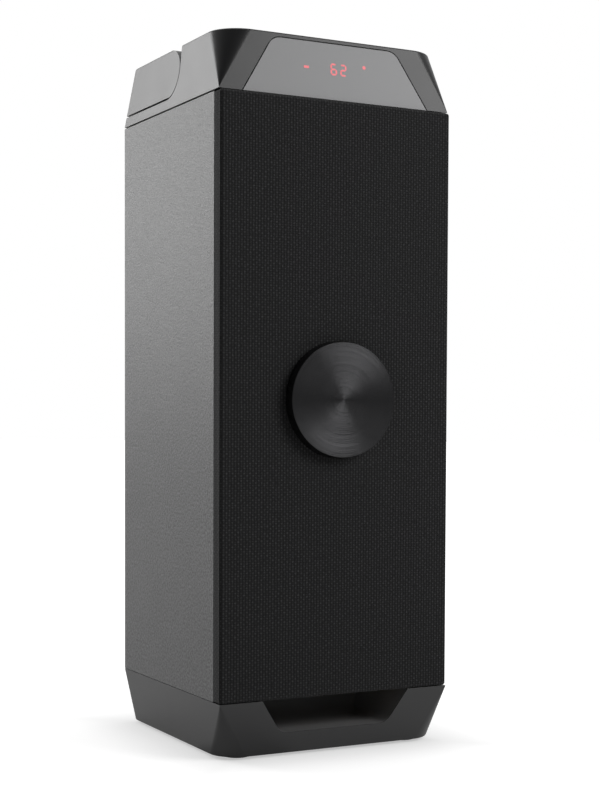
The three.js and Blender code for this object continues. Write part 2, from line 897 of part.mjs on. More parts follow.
function carryHandle() {
  const armInner = islandHalf + grip.sideGap;
  const outline = solidOf(prismX(handleOutline(), -beyond, beyond, 10));
  const inside = centred(armInner, [-halfDepth, barInnerY], [-cutOverrun, capHeight + cutOverrun]);
  const scoopHalf = armInner - grip.scoopEnd;
  const scoopPlace = [barInnerY, grip.pivotHeight - grip.drop + grip.scoopHeight];
  const scoop = rodX(grip.scoopRadius, -scoopHalf, scoopHalf, scoopPlace, 28);
  const boreEnd = armInner + grip.pinReach;
  const bore = rodX(grip.pinRadius + runningGap, -boreEnd, boreEnd, pivot, 16);
  return cut(capEnvelope().intersect(outline), inside, scoop, bore);
}

// A shoulder pin: its head bears on the inside of the island's wall, its shank carries the arm.
function pivotPin() {
  const head = islandHalf - shellWall - fitGap;
  const end = islandHalf + grip.sideGap + grip.pinReach - runningGap;
  return turned(
    [
      [0, head - grip.pinHead],
      [grip.pinHeadRadius, head - grip.pinHead],
      [grip.pinHeadRadius, head],
      [grip.pinRadius, head],
      [grip.pinRadius, end],
      [0, end],
    ],
    12,
  );
}

function displayWindow() {
  return solidOf(prismY(windowOutline(0, 0), 0, display.thick));
}

// The board behind the window, with two digit blocks and a lamp on either side of them.
function displayBoard() {
  const back = display.wall + fitGap;
  const half = display.boardWidth / 2;
  const low = display.slotCentre - display.boardHeight / 2;
  const board = centred(half, [back, back + display.boardThick], [low, low + display.boardHeight]);
  const front = display.thick + display.lineGap + fitGap;
  const halfDigit = display.digitWidth / 2;
  const digits = [-1, 1].map((side) => {
    const x = (side * display.digitPitch) / 2;
    const z = display.slotCentre - display.digitHeight / 2;
    const far = [x + halfDigit, back + display.boardThick, z + display.digitHeight];
    return block([x - halfDigit, front, z], far);
  });
  const lamps = [-1, 1].map((side) => {
    const place = [side * display.lampOffset, display.slotCentre];
    return rodY(display.lampRadius, front, back + display.boardThick, place, 12);
  });
  return joined(board, ...digits, ...lamps);
}

function addCap() {
  const cap = groupAt(model, 0, middleY, capZ);
  addPiece(cap, "cap_shell", capShell(), "satinPlastic");
  addPiece(cap, "carry_handle", carryHandle(), "satinPlastic");
  for (const [name, side] of [["left", -1], ["right", 1]]) {
    const pin = addPiece(cap, `pivot_pin_${name}`, pivotPin(), "steel");
    pin.position.set(0, ...pivot);
    pin.rotation.z = -side * quarter;
  }
  const face = groupAt(cap, 0, capWide.front, 0);
  face.rotation.x = -frontTilt;
  addPiece(face, "display_window", displayWindow(), "smoked");
  addPiece(face, "display_board", displayBoard(), "circuit");
  addControls(cap);
}

// Controls, in a group whose origin is on the cap's top at the middle of the panel
const buttonTurnShares = {
  power: -5 / 12,
  source: -1 / 2,
  previous: 5 / 12,
  play: 1 / 12,
  next: 0,
  tone: -1 / 12,
};
const panelUnder = -controls.thick;
const boardTop = panelUnder - controls.boardDrop;
const switchTop = boardTop + controls.switchHeight;

function buttonPlace(turnShare) {
  const angle = turnShare * turn;
  return [button.ring * Math.cos(angle), button.ring * Math.sin(angle)];
}

function controlPanel() {
  const y = controls.behindMiddle;
  const plate = solidOf(prismZ(panelOutline(0), panelUnder, 0).translate(0, -y, 0));
  const places = Object.values(buttonTurnShares).map(buttonPlace);
  const through = [panelUnder - cutOverrun, cutOverrun];
  const holes = places.map((place) => rodZ(button.radius + runningGap, ...through, place, 12));
  const bushHole = rodZ(knob.bushRadius + fitGap, ...through, [0, 0], 20);
  const postX = controls.boardWidth / 2 - controls.postInset / 2;
  const postY = controls.boardDepth / 2 - controls.postInset / 2;
  const posts = [-1, 1].flatMap((sx) =>
    [-1, 1].map((sy) => rodZ(controls.postRadius, boardTop + fitGap, panelUnder / 2, [sx * postX, sy * postY], 8)),
  );
  return cut(joined(plate, ...posts), ...holes, bushHole);
}

function controlBoard() {
  const half = controls.boardWidth / 2;
  const deep = controls.boardDepth / 2;
  const under = boardTop - controls.boardThick;
  const board = block([-half, -deep, under], [half, deep, boardTop]);
  const halfSwitch = controls.switchSize / 2;
  const switches = Object.values(buttonTurnShares).map((share) => {
    const [x, y] = buttonPlace(share);
    return block([x - halfSwitch, y - halfSwitch, under], [x + halfSwitch, y + halfSwitch, switchTop]);
  });
  return joined(board, ...switches);
}

function pushButton() {
  const stemEnd = switchTop + button.travel + fitGap;
  const flangeTop = panelUnder - fitGap;
  const flangeBottom = flangeTop - button.flangeThick;
  return turned(
    [
      [0, stemEnd],
      [button.stem, stemEnd],
      [button.stem, flangeBottom],
      [button.flange, flangeBottom],
      [button.flange, flangeTop],
      [button.radius, flangeTop],
      [button.radius, button.proud - button.edge],
      [button.radius - button.edge, button.proud],
      [0, button.proud],
    ],
    12,
  );
}

function volumeEncoder() {
  const half = knob.bodySize / 2;
  const top = boardTop + knob.bodyHeight;
  const body = block([-half, -half, boardTop + fitGap], [half, half, top]);
  const bush = rodZ(knob.bushRadius, top - cutOverrun, 0, [0, 0], 20);
  const bore = rodZ(knob.shaftRadius + fitGap, boardTop + knob.boreFloor, cutOverrun, [0, 0], 20);
  return cut(joined(body, bush), bore);
}

function encoderShaft() {
  const top = knob.lift + knob.height - knob.shaftTop - fitGap;
  return rodZ(knob.shaftRadius, boardTop + knob.boreFloor + fitGap, top, [0, 0], 16);
}

function volumeKnob() {
  const low = knob.lift;
  const high = low + knob.height;
  const grown = knob.radius + knob.skirt;
  const body = turned(
    [
      [0, low],
      [grown, low],
      [grown, low + knob.skirtHeight / 2],
      [knob.radius, low + knob.skirtHeight],
      [knob.radius, high - knob.edge],
      [knob.radius - knob.edge, high],
      [0, high],
    ],
    32,
    true,
  );
  const mark = block(
    [-knob.markWidth / 2, knob.radius - knob.edge - knob.markLength, high - knob.markDepth],
    [knob.markWidth / 2, knob.radius - knob.edge, high + cutOverrun],
  );
  const bore = rodZ(knob.shaftRadius + fitGap, low - cutOverrun, high - knob.shaftTop, [0, 0], 16);
  return cut(body, mark, bore);
}

function addControls(cap) {
  const top = groupAt(cap, 0, controls.behindMiddle, capHeight);
  addPiece(top, "control_panel", controlPanel(), "darkPlastic");
  addPiece(top, "control_board", controlBoard(), "circuit");
  addPiece(top, "volume_encoder", volumeEncoder(), "steel");
  addPiece(top, "encoder_shaft", encoderShaft(), "steel");
  addPiece(top, "volume_knob", volumeKnob(), "anodised");
  for (const [name, share] of Object.entries(buttonTurnShares)) {
    const mesh = addPiece(top, `${name}_button`, pushButton(), "rubber");
    mesh.position.set(...buttonPlace(share), 0);
    mesh.rotation.x = quarter;
  }
}

// Loudspeakers, each in a group whose heights run forward from the front of the baffle
const wooferBack = -woofer.cageDepth;
const gapRadius = woofer.coilRadius + woofer.coilThick + woofer.gap;
const plateBack = wooferBack - woofer.plateThick;
const magnetBack = plateBack - fitGap - woofer.magnetThick;
const coneFront = woofer.flangeThick;
const rollBase = coneFront + fitGap;
const coneNeck = woofer.coilRadius + woofer.coilThick + fitGap;
const coneLedge = woofer.coneRadius - woofer.rollLand;
const neckHeight = coneFront - woofer.coneDepth;

// The steel basket: a flange on the baffle, six legs, and the front plate of the magnet gap.
function wooferBasket() {
  const wall = woofer.cageWall;
  const body = turned(
    [
      [gapRadius, plateBack],
      [woofer.cageFoot, plateBack],
      [woofer.cageFoot, wooferBack],
      [woofer.cageRadius + wall, fitGap],
      [woofer.flangeRadius, fitGap],
      [woofer.flangeRadius, woofer.flangeThick],
      [woofer.flangeInner, woofer.flangeThick],
      [woofer.cageFoot - wall, wooferBack + wall],
      [woofer.cageFoot - wall, wooferBack],
      [gapRadius, wooferBack],
    ],
    driverSides,
  );
  const windows = Array.from({ length: basketWindows / 2 }, (_, i) => {
    const reach = woofer.flangeRadius;
    const bar = new THREE.BoxGeometry(2 * reach, woofer.cageDepth * windowShare, 2 * woofer.cageWindowHalf);
    return solidOf(bar.translate(0, wooferBack / 2, 0).rotateY((i * turn) / basketWindows));
  });
  const core = turned(
    [
      [0, plateBack - cutOverrun],
      [woofer.cageFoot - 2 * wall, plateBack - cutOverrun],
      [woofer.cageFoot - 2 * wall, cutOverrun],
      [0, cutOverrun],
    ],
    20,
  );
  return cut(body, ...windows.map((window) => cut(window, core)));
}

function wooferSurround() {
  const thick = woofer.rollThick;
  const middle = (woofer.coneRadius + woofer.flangeInner) / 2;
  const span = (woofer.flangeInner - woofer.coneRadius) / 2;
  const arch = (grow, from, to) =>
    Array.from({ length: rollSteps + 1 }, (_, k) => {
      const angle = from + ((to - from) * k) / rollSteps;
      const rise = (woofer.rollHeight + grow) * Math.sin(angle);
      return [middle - (span + grow) * Math.cos(angle), rollBase + thick + rise];
    });
  return turned(
    [
      [coneLedge, rollBase + thick],
      ...arch(0, 0, Math.PI),
      [woofer.flangeInner + woofer.rollLand, rollBase + thick],
      [woofer.flangeInner + woofer.rollLand, rollBase],
      ...arch(-thick, Math.PI, 0).map(([radius, height]) => [radius, height - thick]),
      [coneLedge, rollBase],
    ],
    driverSides,
  );
}

function wooferCone() {
  const thick = woofer.coneThick;
  return turned(
    [
      [coneNeck, neckHeight],
      [woofer.coneRadius - thick, coneFront - thick],
      [woofer.coneRadius - thick, coneFront],
      [coneLedge, coneFront],
      [coneNeck, neckHeight + thick],
    ],
    driverSides,
  );
}

// A dome's profile from its rim to its top.
function domeProfile(radius, rise, base) {
  const bend = domeShares.map((share) => {
    const angle = share * quarter;
    return [radius * Math.cos(angle), base + rise * Math.sin(angle)];
  });
  return [...bend, [0, base + rise]];
}

function wooferDustCap() {
  const share = (woofer.capRadius - coneNeck) / (coneLedge - coneNeck);
  const rim = neckHeight + woofer.coneThick + share * (woofer.coneDepth - woofer.coneThick) + fitGap;
  const inside = domeProfile(woofer.capRadius - woofer.capThick, woofer.capHeight - woofer.capThick, rim);
  return turned([...inside.reverse(), ...domeProfile(woofer.capRadius, woofer.capHeight, rim)], 18);
}

function wooferSpider() {
  const inner = coneNeck;
  const outer = woofer.spiderOuter;
  const middle = -woofer.spiderDepth;
  const wave = (lift) =>
    Array.from({ length: spiderSteps + 1 }, (_, k) => {
      const share = k / spiderSteps;
      const bend = woofer.spiderWave * Math.sin(spiderWaves * turn * share);
      return [inner + (outer - inner) * share, middle + lift + bend];
    });
  return turned([...wave(0), ...wave(woofer.spiderThick).reverse()], 18);
}

// The ledge inside the basket that the spider is glued to.
function wooferSpiderRing() {
  const low = (plateBack + wooferBack) / 2;
  const high = -woofer.spiderDepth - woofer.spiderWave - fitGap;
  const outer = woofer.cageFoot - 2 * woofer.cageWall - fitGap;
  const inner = woofer.spiderOuter - woofer.rollLand;
  return turned(
    [
      [inner, low],
      [outer, low],
      [outer, high],
      [inner, high],
    ],
    20,
  );
}

function wooferVoiceCoil() {
  const front = neckHeight + woofer.coneThick;
  const inner = woofer.coilRadius;
  return turned(
    [
      [inner, front - woofer.coilLength],
      [inner + woofer.coilThick, front - woofer.coilLength],
      [inner + woofer.coilThick, front],
      [inner, front],
    ],
    20,
  );
}

function wooferMagnet() {
  return turned(
    [
      [woofer.magnetBore, magnetBack],
      [woofer.magnetRadius, magnetBack],
      [woofer.magnetRadius, plateBack - fitGap],
      [woofer.magnetBore, plateBack - fitGap],
    ],
    20,
  );
}

function wooferYoke() {
  const pole = woofer.coilRadius - woofer.gap;
  const front = magnetBack - fitGap;
  return turned(
    [
      [0, front - woofer.yokeThick],
      [woofer.magnetRadius - woofer.cageWall, front - woofer.yokeThick],
      [woofer.magnetRadius - woofer.cageWall, front],
      [pole, front],
      [pole, wooferBack],
      [0, wooferBack],
    ],
    20,
  );
}

// A horn flange and its magnet can in one moulding, with the throat open to the front.
function tweeterHorn() {
  const size = tweeter;
  const lip = size.domeRadius + size.lip;
  return turned(
    [
      [0, -size.canDepth],
      [size.canRadius, -size.canDepth],
      [size.canRadius, fitGap],
      [size.flangeRadius, fitGap],
      [size.flangeRadius, size.flangeThick],
      [size.hornRadius, size.flangeThick],
      [lip, -size.hornDepth],
      [0, -size.hornDepth],
    ],
    24,
  );
}

function tweeterDome() {
  const base = -tweeter.hornDepth + fitGap;
  const dome = domeProfile(tweeter.domeRadius, tweeter.domeRise, base + tweeter.domeThick);
  return turned([[0, base], [tweeter.domeRadius, base], ...dome], 16);
}

function addWoofer(name, z) {
  const driver = groupAt(model, 0, baffleY, cabinetZ + z);
  driver.rotation.x = Math.PI;
  addPiece(driver, `${name}_basket`, joined(wooferBasket(), wooferSpiderRing()), "steel");
  addPiece(driver, `${name}_surround`, wooferSurround(), "rubber");
  addPiece(driver, `${name}_cone`, wooferCone(), "paper");
  addPiece(driver, `${name}_dust_cap`, wooferDustCap(), "paper");
  addPiece(driver, `${name}_spider`, wooferSpider(), "cloth");
  addPiece(driver, `${name}_voice_coil`, wooferVoiceCoil(), "copper");
  addPiece(driver, `${name}_magnet`, wooferMagnet(), "ferrite");
  addPiece(driver, `${name}_yoke`, wooferYoke(), "steel");
}

function addLoudspeakers() {
  addWoofer("upper_woofer", discZ + wooferOffset);
  addWoofer("lower_woofer", discZ - wooferOffset);
  const driver = groupAt(model, 0, baffleY, cabinetZ + discZ + tweeterOffset);
  driver.rotation.x = Math.PI;
  addPiece(driver, "tweeter_horn", tweeterHorn(), "darkPlastic");
  addPiece(driver, "tweeter_dome", tweeterDome(), "silk");
}

// Input panel and electronics, in a group whose origin is on the cabinet's back at the panel's middle
const wellHalf = rear.width / 2 - rear.lap - fitGap;
const wellTall = rear.height / 2 - rear.lap - fitGap;
const jackZ = rear.height / 2 - rear.lap - jack.fromTop;
const socketZ = -(rear.height / 2 - rear.lap - socketRow.fromBottom);
const jackPlaces = { left: [-jack.across, jackZ], right: [jack.across, jackZ] };
const inletPlace = [-socketRow.across, socketZ];
const rockerPlace = [socketRow.across, socketZ];
const amplifierY = -rear.rim - rear.postLength;

function framed([x, z], width, height, y0, y1) {
  return block([x - width / 2, y0, z - height / 2], [x + width / 2, y1, z + height / 2]);
}

// A plate that laps the cabinet's back, with a plug that fills the opening and posts for the amplifier.
function inputPanel() {
  const half = rear.width / 2;
  const tall = rear.height / 2;
  const plate = prismY(softRectangle([-half, half], [-tall, tall], rear.corner), fitGap, rear.plateProud);
  const plugOutline = softRectangle([-wellHalf, wellHalf], [-wellTall, wellTall], rear.corner);
  const plug = prismY(plugOutline, -rear.rim, rear.plateProud);
  const through = [-rear.rim - cutOverrun, rear.plateProud + cutOverrun];
  const jackHoles = Object.values(jackPlaces).map((place) => rodY(jack.nose + fitGap, ...through, place, 16));
  const inletHole = framed(inletPlace, inlet.width + 2 * fitGap, inlet.height + 2 * fitGap, ...through);
  const rockerOpen = [rocker.housingWidth + 2 * fitGap, rocker.housingHeight + 2 * fitGap];
  const rockerHole = framed(rockerPlace, ...rockerOpen, ...through);
  const postX = amplifier.width / 2 - rear.postInset;
  const postZ = amplifier.height / 2 - rear.postInset / 2;
  const posts = [-1, 1].flatMap((sx) =>
    [-1, 1].map((sz) => {
      const place = [sx * postX, amplifier.above + sz * postZ];
      return rodY(rear.postRadius, amplifierY + fitGap, -rear.rim / 2, place, 8);
    }),
  );
  return cut(joined(solidOf(plate), solidOf(plug), ...posts), ...jackHoles, inletHole, rockerHole);
}

// A jack: a square body behind the panel, a round nose through it and a nut on its face.
function microphoneJack() {
  const face = rear.plateProud;
  const back = -rear.rim - fitGap;
  const body = framed([0, 0], jack.body, jack.body, back - jack.depth, back);
  const nose = rodY(jack.nose, back - cutOverrun, face, [0, 0], 16);
  const bore = rodY(jack.bore, back - jack.depth + jack.boreEnd, face + cutOverrun, [0, 0], 12);
  return cut(joined(body, nose), bore);
}

// The figure-of-eight mains socket: a flanged box with a deep mouth and two pins.
function powerInlet() {
  const face = rear.plateProud;
  const shell = framed([0, 0], inlet.width, inlet.height, face - inlet.depth, face);
  const mouth = softRectangle(
    [-inlet.mouthWidth / 2, inlet.mouthWidth / 2],
    [-inlet.mouthHeight / 2, inlet.mouthHeight / 2],
    inlet.mouthHeight / 2,
  );
  const open = solidOf(prismY(mouth, face - inlet.mouthDepth, face + cutOverrun, 4));
  const floor = face - inlet.mouthDepth;
  const pins = [-1, 1].map((side) => {
    const place = [(side * inletPin.apart) / 2, 0];
    return rodY(inletPin.radius, floor - cutOverrun, floor + inletPin.length, place, 8);
  });
  return joined(cut(shell, open), ...pins);
}

function rockerHousing() {
  const face = rear.plateProud;
  const body = framed([0, 0], rocker.housingWidth, rocker.housingHeight, face - rocker.depth, face);
  const gap = 2 * runningGap;
  const wellEnds = [face - rocker.well, face + cutOverrun];
  const well = framed([0, 0], rocker.width + gap, rocker.height + gap, ...wellEnds);
  const pinEnd = rocker.height / 2 + rocker.pinReach + fitGap;
  const pinHole = rodZ(rocker.pinRadius + runningGap, -pinEnd, pinEnd, [0, face - rocker.pinDepth], 12);
  return cut(body, well, pinHole);
}

// The rocker turns about an upright pin; its face bends back to both sides of the middle.
function rockerCap() {
  const half = rocker.width / 2;
  const lean = half * Math.tan(rockerTilt * degree);
  const front = rocker.pinDepth - rocker.faceGap;
  const outline = straightOutline([
    [-half + lean, -rocker.reach],
    [half - lean, -rocker.reach],
    [half - lean / 2, front - lean],
    [0, front],
    [-half + lean / 2, front - lean],
  ]);
  const cap = solidOf(prismZ(outline, -rocker.height / 2, rocker.height / 2));
  const pinEnd = rocker.height / 2 + rocker.pinReach;
  return joined(cap, rodZ(rocker.pinRadius, -pinEnd, pinEnd, [0, 0], 12));
}

// The amplifier's board on the panel's posts, with two tall capacitors on its far side.
function amplifierBoard() {
  const back = amplifierY - amplifier.thick;
  const board = framed([0, amplifier.above], amplifier.width, amplifier.height, back, amplifierY);
  const cans = [-1, 1].map((side) => {
    const place = [side * amplifier.canAcross, amplifier.above - amplifier.canBelow];
    return rodY(amplifier.canRadius, back - amplifier.canHeight, amplifierY, place, 16);
  });
  return joined(board, ...cans);
}

// A finned extrusion: a foot against the board and a row of fins away from it.
function finnedSink() {
  const front = amplifierY - amplifier.thick - fitGap;
  const z = amplifier.above + heatsink.above;
  const sinkFoot = framed([0, z], heatsink.width, heatsink.height, front - heatsink.foot, front);
  const pitch = (heatsink.width - heatsink.finThick) / (heatsinkFins - 1);
  const fins = Array.from({ length: heatsinkFins }, (_, i) => {
    const x = -heatsink.width / 2 + heatsink.finThick / 2 + i * pitch;
    const finEnds = [front - heatsink.depth, front - heatsink.foot / 2];
    return framed([x, z], heatsink.finThick, heatsink.height, ...finEnds);
  });
  return joined(sinkFoot, ...fins);
}

function addRear() {
  const back = groupAt(model, 0, rearY, cabinetZ + rear.above);
  addPiece(back, "input_panel", inputPanel(), "darkPlastic");
  for (const [side, [x, z]] of Object.entries(jackPlaces)) {
    addPiece(back, `microphone_jack_${side}`, microphoneJack(), "darkPlastic").position.set(x, 0, z);
  }
  const [inletX, inletZ] = inletPlace;
  addPiece(back, "power_inlet", powerInlet(), "darkPlastic").position.set(inletX, 0, inletZ);
  const [rockerX, rockerZ] = rockerPlace;
  addPiece(back, "rocker_housing", rockerHousing(), "darkPlastic").position.set(rockerX, 0, rockerZ);
  const cap = addPiece(back, "power_rocker", rockerCap(), "rubber");
  cap.position.set(rockerX, rear.plateProud - rocker.pinDepth, rockerZ);
  cap.rotation.z = -rockerTilt * degree;
  addPiece(back, "amplifier_board", amplifierBoard(), "circuit");
  addPiece(back, "heat_sink", finnedSink(), "aluminium");
}

// Battery and power supply, side by side on the cabinet's floor
const powerHalf = (battery.width + supply.fromBattery + supply.width) / 2;

function batteryPack() {
  const rearEnd = boardBack - battery.fromRear;
  const across = [-powerHalf, -powerHalf + battery.width];
  const outline = softRectangle(across, [rearEnd - battery.depth, rearEnd], battery.corner);
  return solidOf(prismZ(outline, innerBottom, innerBottom + battery.height, 3));
}

function powerSupply() {
  const x0 = powerHalf - supply.width;
  const y1 = boardBack - battery.fromRear;
  const boardTopZ = innerBottom + supply.thick;
  const board = block([x0, y1 - supply.depth, innerBottom], [x0 + supply.width, y1, boardTopZ]);
  const coreX = x0 + supply.width / 2;
  const coreY = y1 - supply.depth / 2;
  const core = block(
    [coreX - supply.coreWidth / 2, coreY - supply.coreDepth / 2, innerBottom],
    [coreX + supply.coreWidth / 2, coreY + supply.coreDepth / 2, innerBottom + supply.coreHeight],
  );
  return joined(board, core);
}

function addPower() {
  const floor = groupAt(model, 0, rearY, cabinetZ);
  addPiece(floor, "battery", batteryPack(), "darkPlastic");
  addPiece(floor, "power_supply", powerSupply(), "circuit");
}

addBase();
addCabinet();
addGrille();
addCap();
addLoudspeakers();
addRear();
addPower();

export default model;
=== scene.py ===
"""Looks of the party speaker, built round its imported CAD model.

Sizes in the tables below are millimetres in the row's own frame: +Z up, the cloth front faces -Y.
"""

import math
from types import SimpleNamespace as Table

import bmesh
import bpy
from bpy.props import FloatProperty, FloatVectorProperty, IntProperty, PointerProperty
from mathutils import Matrix, Vector


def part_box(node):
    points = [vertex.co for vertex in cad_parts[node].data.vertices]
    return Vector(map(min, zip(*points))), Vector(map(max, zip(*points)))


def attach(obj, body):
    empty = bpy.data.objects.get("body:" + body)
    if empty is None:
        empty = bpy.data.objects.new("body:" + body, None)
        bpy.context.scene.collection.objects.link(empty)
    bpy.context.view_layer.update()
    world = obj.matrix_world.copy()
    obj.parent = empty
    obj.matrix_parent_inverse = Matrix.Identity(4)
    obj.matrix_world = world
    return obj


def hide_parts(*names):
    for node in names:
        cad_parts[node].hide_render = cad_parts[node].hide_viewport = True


bl_info = {
    "name": "Party speaker",
    "version": (1, 0, 0),
    "blender": (4, 5, 0),
    "location": "3D View > Sidebar > Speaker",
    "description": "Dresses the packed speaker with its mouldings, cloth, fittings and stage",
    "category": "Object",
}

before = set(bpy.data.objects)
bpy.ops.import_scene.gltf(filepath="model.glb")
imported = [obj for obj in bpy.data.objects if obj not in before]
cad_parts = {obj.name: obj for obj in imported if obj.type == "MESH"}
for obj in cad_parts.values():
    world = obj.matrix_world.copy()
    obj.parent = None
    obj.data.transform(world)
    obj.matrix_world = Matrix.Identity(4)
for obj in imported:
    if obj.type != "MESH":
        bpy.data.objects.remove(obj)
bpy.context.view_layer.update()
MM = 0.001
WELD = 1e-6  # Points nearer to each other than this, in metres, become one
CLEARANCE = 0.3  # Between a fitting and the hole that takes it
AXIS = 0.01  # The least radius of a turned profile
REACH = 132  # How far tools reach, past the cabinet's sides
THROUGH = (120, 140)  # Where tools that pierce the back start and end

# Places that the CAD model gives
HALF = 130.0
MIDDLE_Y = 4.8
BASE_Z = 3.0
CABINET_Z = 59.2
CABINET_H = 598.0
CAP_Z = 658.4
BAFFLE_Y = -109.2
REAR_Y = 134.8
CLOTH_FRONT = BAFFLE_Y - 16
MIDDLE_Z = CABINET_Z + CABINET_H / 2

# Cap and base: plans at their sharp-cornered and their round-cornered end
SHARP = {"half": 130, "rear": 130, "front_radius": 0, "rear_radius": 0}
ROUND = {"half": 124, "rear": 124, "rear_radius": 16}
CAP_WIDE = {**SHARP, "front": -125, "crease": 0}
CAP_NARROW = {**ROUND, "front": -118, "front_radius": 33, "crease": 0}
BASE_WIDE = {**SHARP, "front": -130, "crease": 5}
BASE_NARROW = {**ROUND, "front": -121, "front_radius": 29.5, "crease": 5}
CAP = Table(height=62, front=-125, lean=7, edge=1.6, wall=3, front_wall=6)
BASE = Table(height=55.8, edge=1.6, wall=3)
SPIGOT = Table(inset=5, wall=3, low=-0.9, high=7.7)
GRIP = Table(
    y=10,
    z=39.5,
    radius=28,
    drop=27,
    gap=0.8,
    draw_back=30,
    side_gap=1.2,
    bar_inner=98,
    scoop_radius=18,
    scoop_height=15,
    scoop_end=22,
    pin=5,
    pin_gap=0.4,
    pin_reach=12,
    pin_end=107,
)
ISLAND = Table(half=104.8, rear=64)
PORT = Table(top=83.5, bottom=61, depth=34.3, corner=9, reach=96, back_radius=33)
FOOT = Table(radius=14, height=8, inset=34, edge=1.2, boss_wall=3, seat=5.3)

# Window, whose places are in the (x, z) of the cap's sloping front
WINDOW = Table(bottom=104.5, top=69, height=57.5, corner=9, thick=2, line=0.6)
LAMP_SLOT = Table(half=46, low=23, high=41, deep=8)
DIGIT = Table(z=31.5, width=5.6, height=10.4, thick=1.8, gap=0.15)
DIGITS = {
    -2.6: ("top", "upper_left", "middle", "lower_left", "lower_right", "bottom"),
    8.4: ("top", "upper_right", "middle", "lower_left", "bottom"),
}
DASH = ((-36.3, 29.7), (-30.6, 32.2))
DOT = Table(place=(32.5, 37.0), radius=1.9)

# Controls, with heights from the cap's top
PANEL = Table(width=176, depth=100, corner=14, y=-22, thick=2.4, ledge=4, wall=5)
DECK_MIDDLE = (0, PANEL.y + MIDDLE_Y, CAP_Z + CAP.height)
PANEL_POST = Table(x=71.5, y=34.5, radius=3.5, low=-12.1)
BUSH_HOLE = 4.8
GROOVE = Table(inner=28.2, outer=28.8, deep=0.5)
TICKS = Table(count=31, ring=31.5, half_long=1.3, half_wide=0.25, low=-0.05, high=0.12)
KEY = Table(ring=46, radius=7, proud=1.2, edge=0.7, gap=0.4)
KEY_STEM = Table(radius=2, low=-7, flange=8.4, flange_thick=1.2)
KEY_TURNS = {
    "power": -5 / 12,
    "source": -1 / 2,
    "previous": 5 / 12,
    "play": 1 / 12,
    "next": 0,
    "tone": -1 / 12,
}
KNOB = Table(radius=25, skirt=27, height=13, lift=0.8, rib=0.7, bore=3.3, lid=4.5)
KNOB_ROUND = Table(rim=1.2, foot=0.6)
POINTER = Table(near=14.4, far=21.6, half=0.8, deep=1.1, gap=0.1)

# Back, with the sockets' places in (x, z)
REAR = Table(width=150, height=190, z=237.2, lap=10, rim=6, proud=2.4, corner=8)
REAR_FACE = REAR_Y + REAR.proud
REAR_POST = Table(x=41, z=(-32, 44), radius=4, start=95.1)
FIELD = Table(z=1.5, half=(62, 34.5), corner=4, deep=1.1)
RIBS = Table(count=20, width=114, half=0.9, low=-31, high=33.5, proud=1.1)
SCREW_SEAT = Table(radius=4, deep=1.3)
PANEL_SCREWS = {"width": 138, "height": 178, "across": 2, "up": 3}
BOARD_SCREWS = {"width": 216, "height": 570, "across": 2, "up": 6}
JACKS = {"left": (-24, REAR.z + 55), "right": (24, REAR.z + 55)}
JACK = Table(body=10, nose=7.5, bore=3.3, nut=9.6, seat=12.5, sunk=1.2)
JACK_DEPTHS = {"back": 36.7, "shoulder": 8.7, "bore": 33.7}
INLET = Table(place=(-30, REAR.z - 62), half=(15, 11), deep=24)
INLET_MOUTH = Table(half=(8.3, 4.4), deep=15, pin_x=4.3)
SWITCH = Table(place=(30, REAR.z - 62), half=(12.5, 10.5), well=(9.9, 6.9), tilt=-8)
ROCKER = Table(half=8.2, low=-4, wide=6.5, axle=1.6, sunk=5)
ROCKER_FACE = {"reach": 8.83, "end": 3.46, "rise": 1.32, "hollow": 1.4}

# Cloth, disc and surrounds
CLOTH = Table(thick=1.1, short=0.3)
DISC = Table(radius=59.3, proud=12, face=2, wall=2.2, taper=1.5, dish=0.3, rise=5)
DISC_SOCKET = 30.3
ROLL = Table(inner=53, outer=64.5, land=5, rise=4.5, thick=1, seat=3.5, parting=0.3)

# Stage: its lamps and camera in metres and degrees
CAMERA = Table(
    place=(-0.765, -1.5484, 0.342),
    turn=(28.688, -2.286, 0.298),
    lens=72.0045,
    shift=(-0.0625, 0.1),
)
FLOOR = Table(radius=20000, sides=64)
STAGE_MIDDLE = (0, 0, 0.4)
LAMPS = {
    "lamp_left_behind": {"place": (-1.15, 1.75, 1.07), "size": (0.9, 1.3), "radiance": 4.35},
    "lamp_right_front": {"place": (1.36, -1.75, 1.5), "size": (1.3, 1.3), "radiance": 6.0},
    "lamp_above": {"place": (0.1, 0.1, 2.4), "size": (1.2, 1.2), "radiance": 1.2},
}


# Shader maths


def both_ways(operation):
    """A Python operator and its reflected form, each of which adds a maths node."""

    def forward(self, other):
        return self.maths(operation, self, other)

    def reflected(self, other):
        return self.maths(operation, other, self)

    return forward, reflected


class Signal:
    """A socket that carries one number and takes part in Python sums."""

    def __init__(self, sheet, socket):
        self.sheet = sheet
        self.socket = socket

    def maths(self, operation, *values, clamp=False):
        settings = {"operation": operation, "use_clamp": clamp}
        node = self.sheet.node("ShaderNodeMath", settings, dict(enumerate(values)))
        return Signal(self.sheet, node.outputs[0])

    __add__, __radd__ = both_ways("ADD")
    __sub__, __rsub__ = both_ways("SUBTRACT")
    __mul__, __rmul__ = both_ways("MULTIPLY")
    __truediv__, __rtruediv__ = both_ways("DIVIDE")
    __pow__, __rpow__ = both_ways("POWER")

    def cos(self):
        return self.maths("COSINE", self)

    def absolute(self):
        return self.maths("ABSOLUTE", self)

    def maximum(self, other):
        return self.maths("MAXIMUM", self, other)

    def limited(self):
        return self.maths("ADD", self, 0, clamp=True)

    def ramped(self, low, high):
        """0 below low, 1 above high and a soft slope between them."""
        node = self.sheet.node(
            "ShaderNodeMapRange",
            {"interpolation_type": "SMOOTHSTEP"},
            {"Value": self, "From Min": low, "From Max": high, "To Min": 0, "To Max": 1},
        )
        return Signal(self.sheet, node.outputs[0])


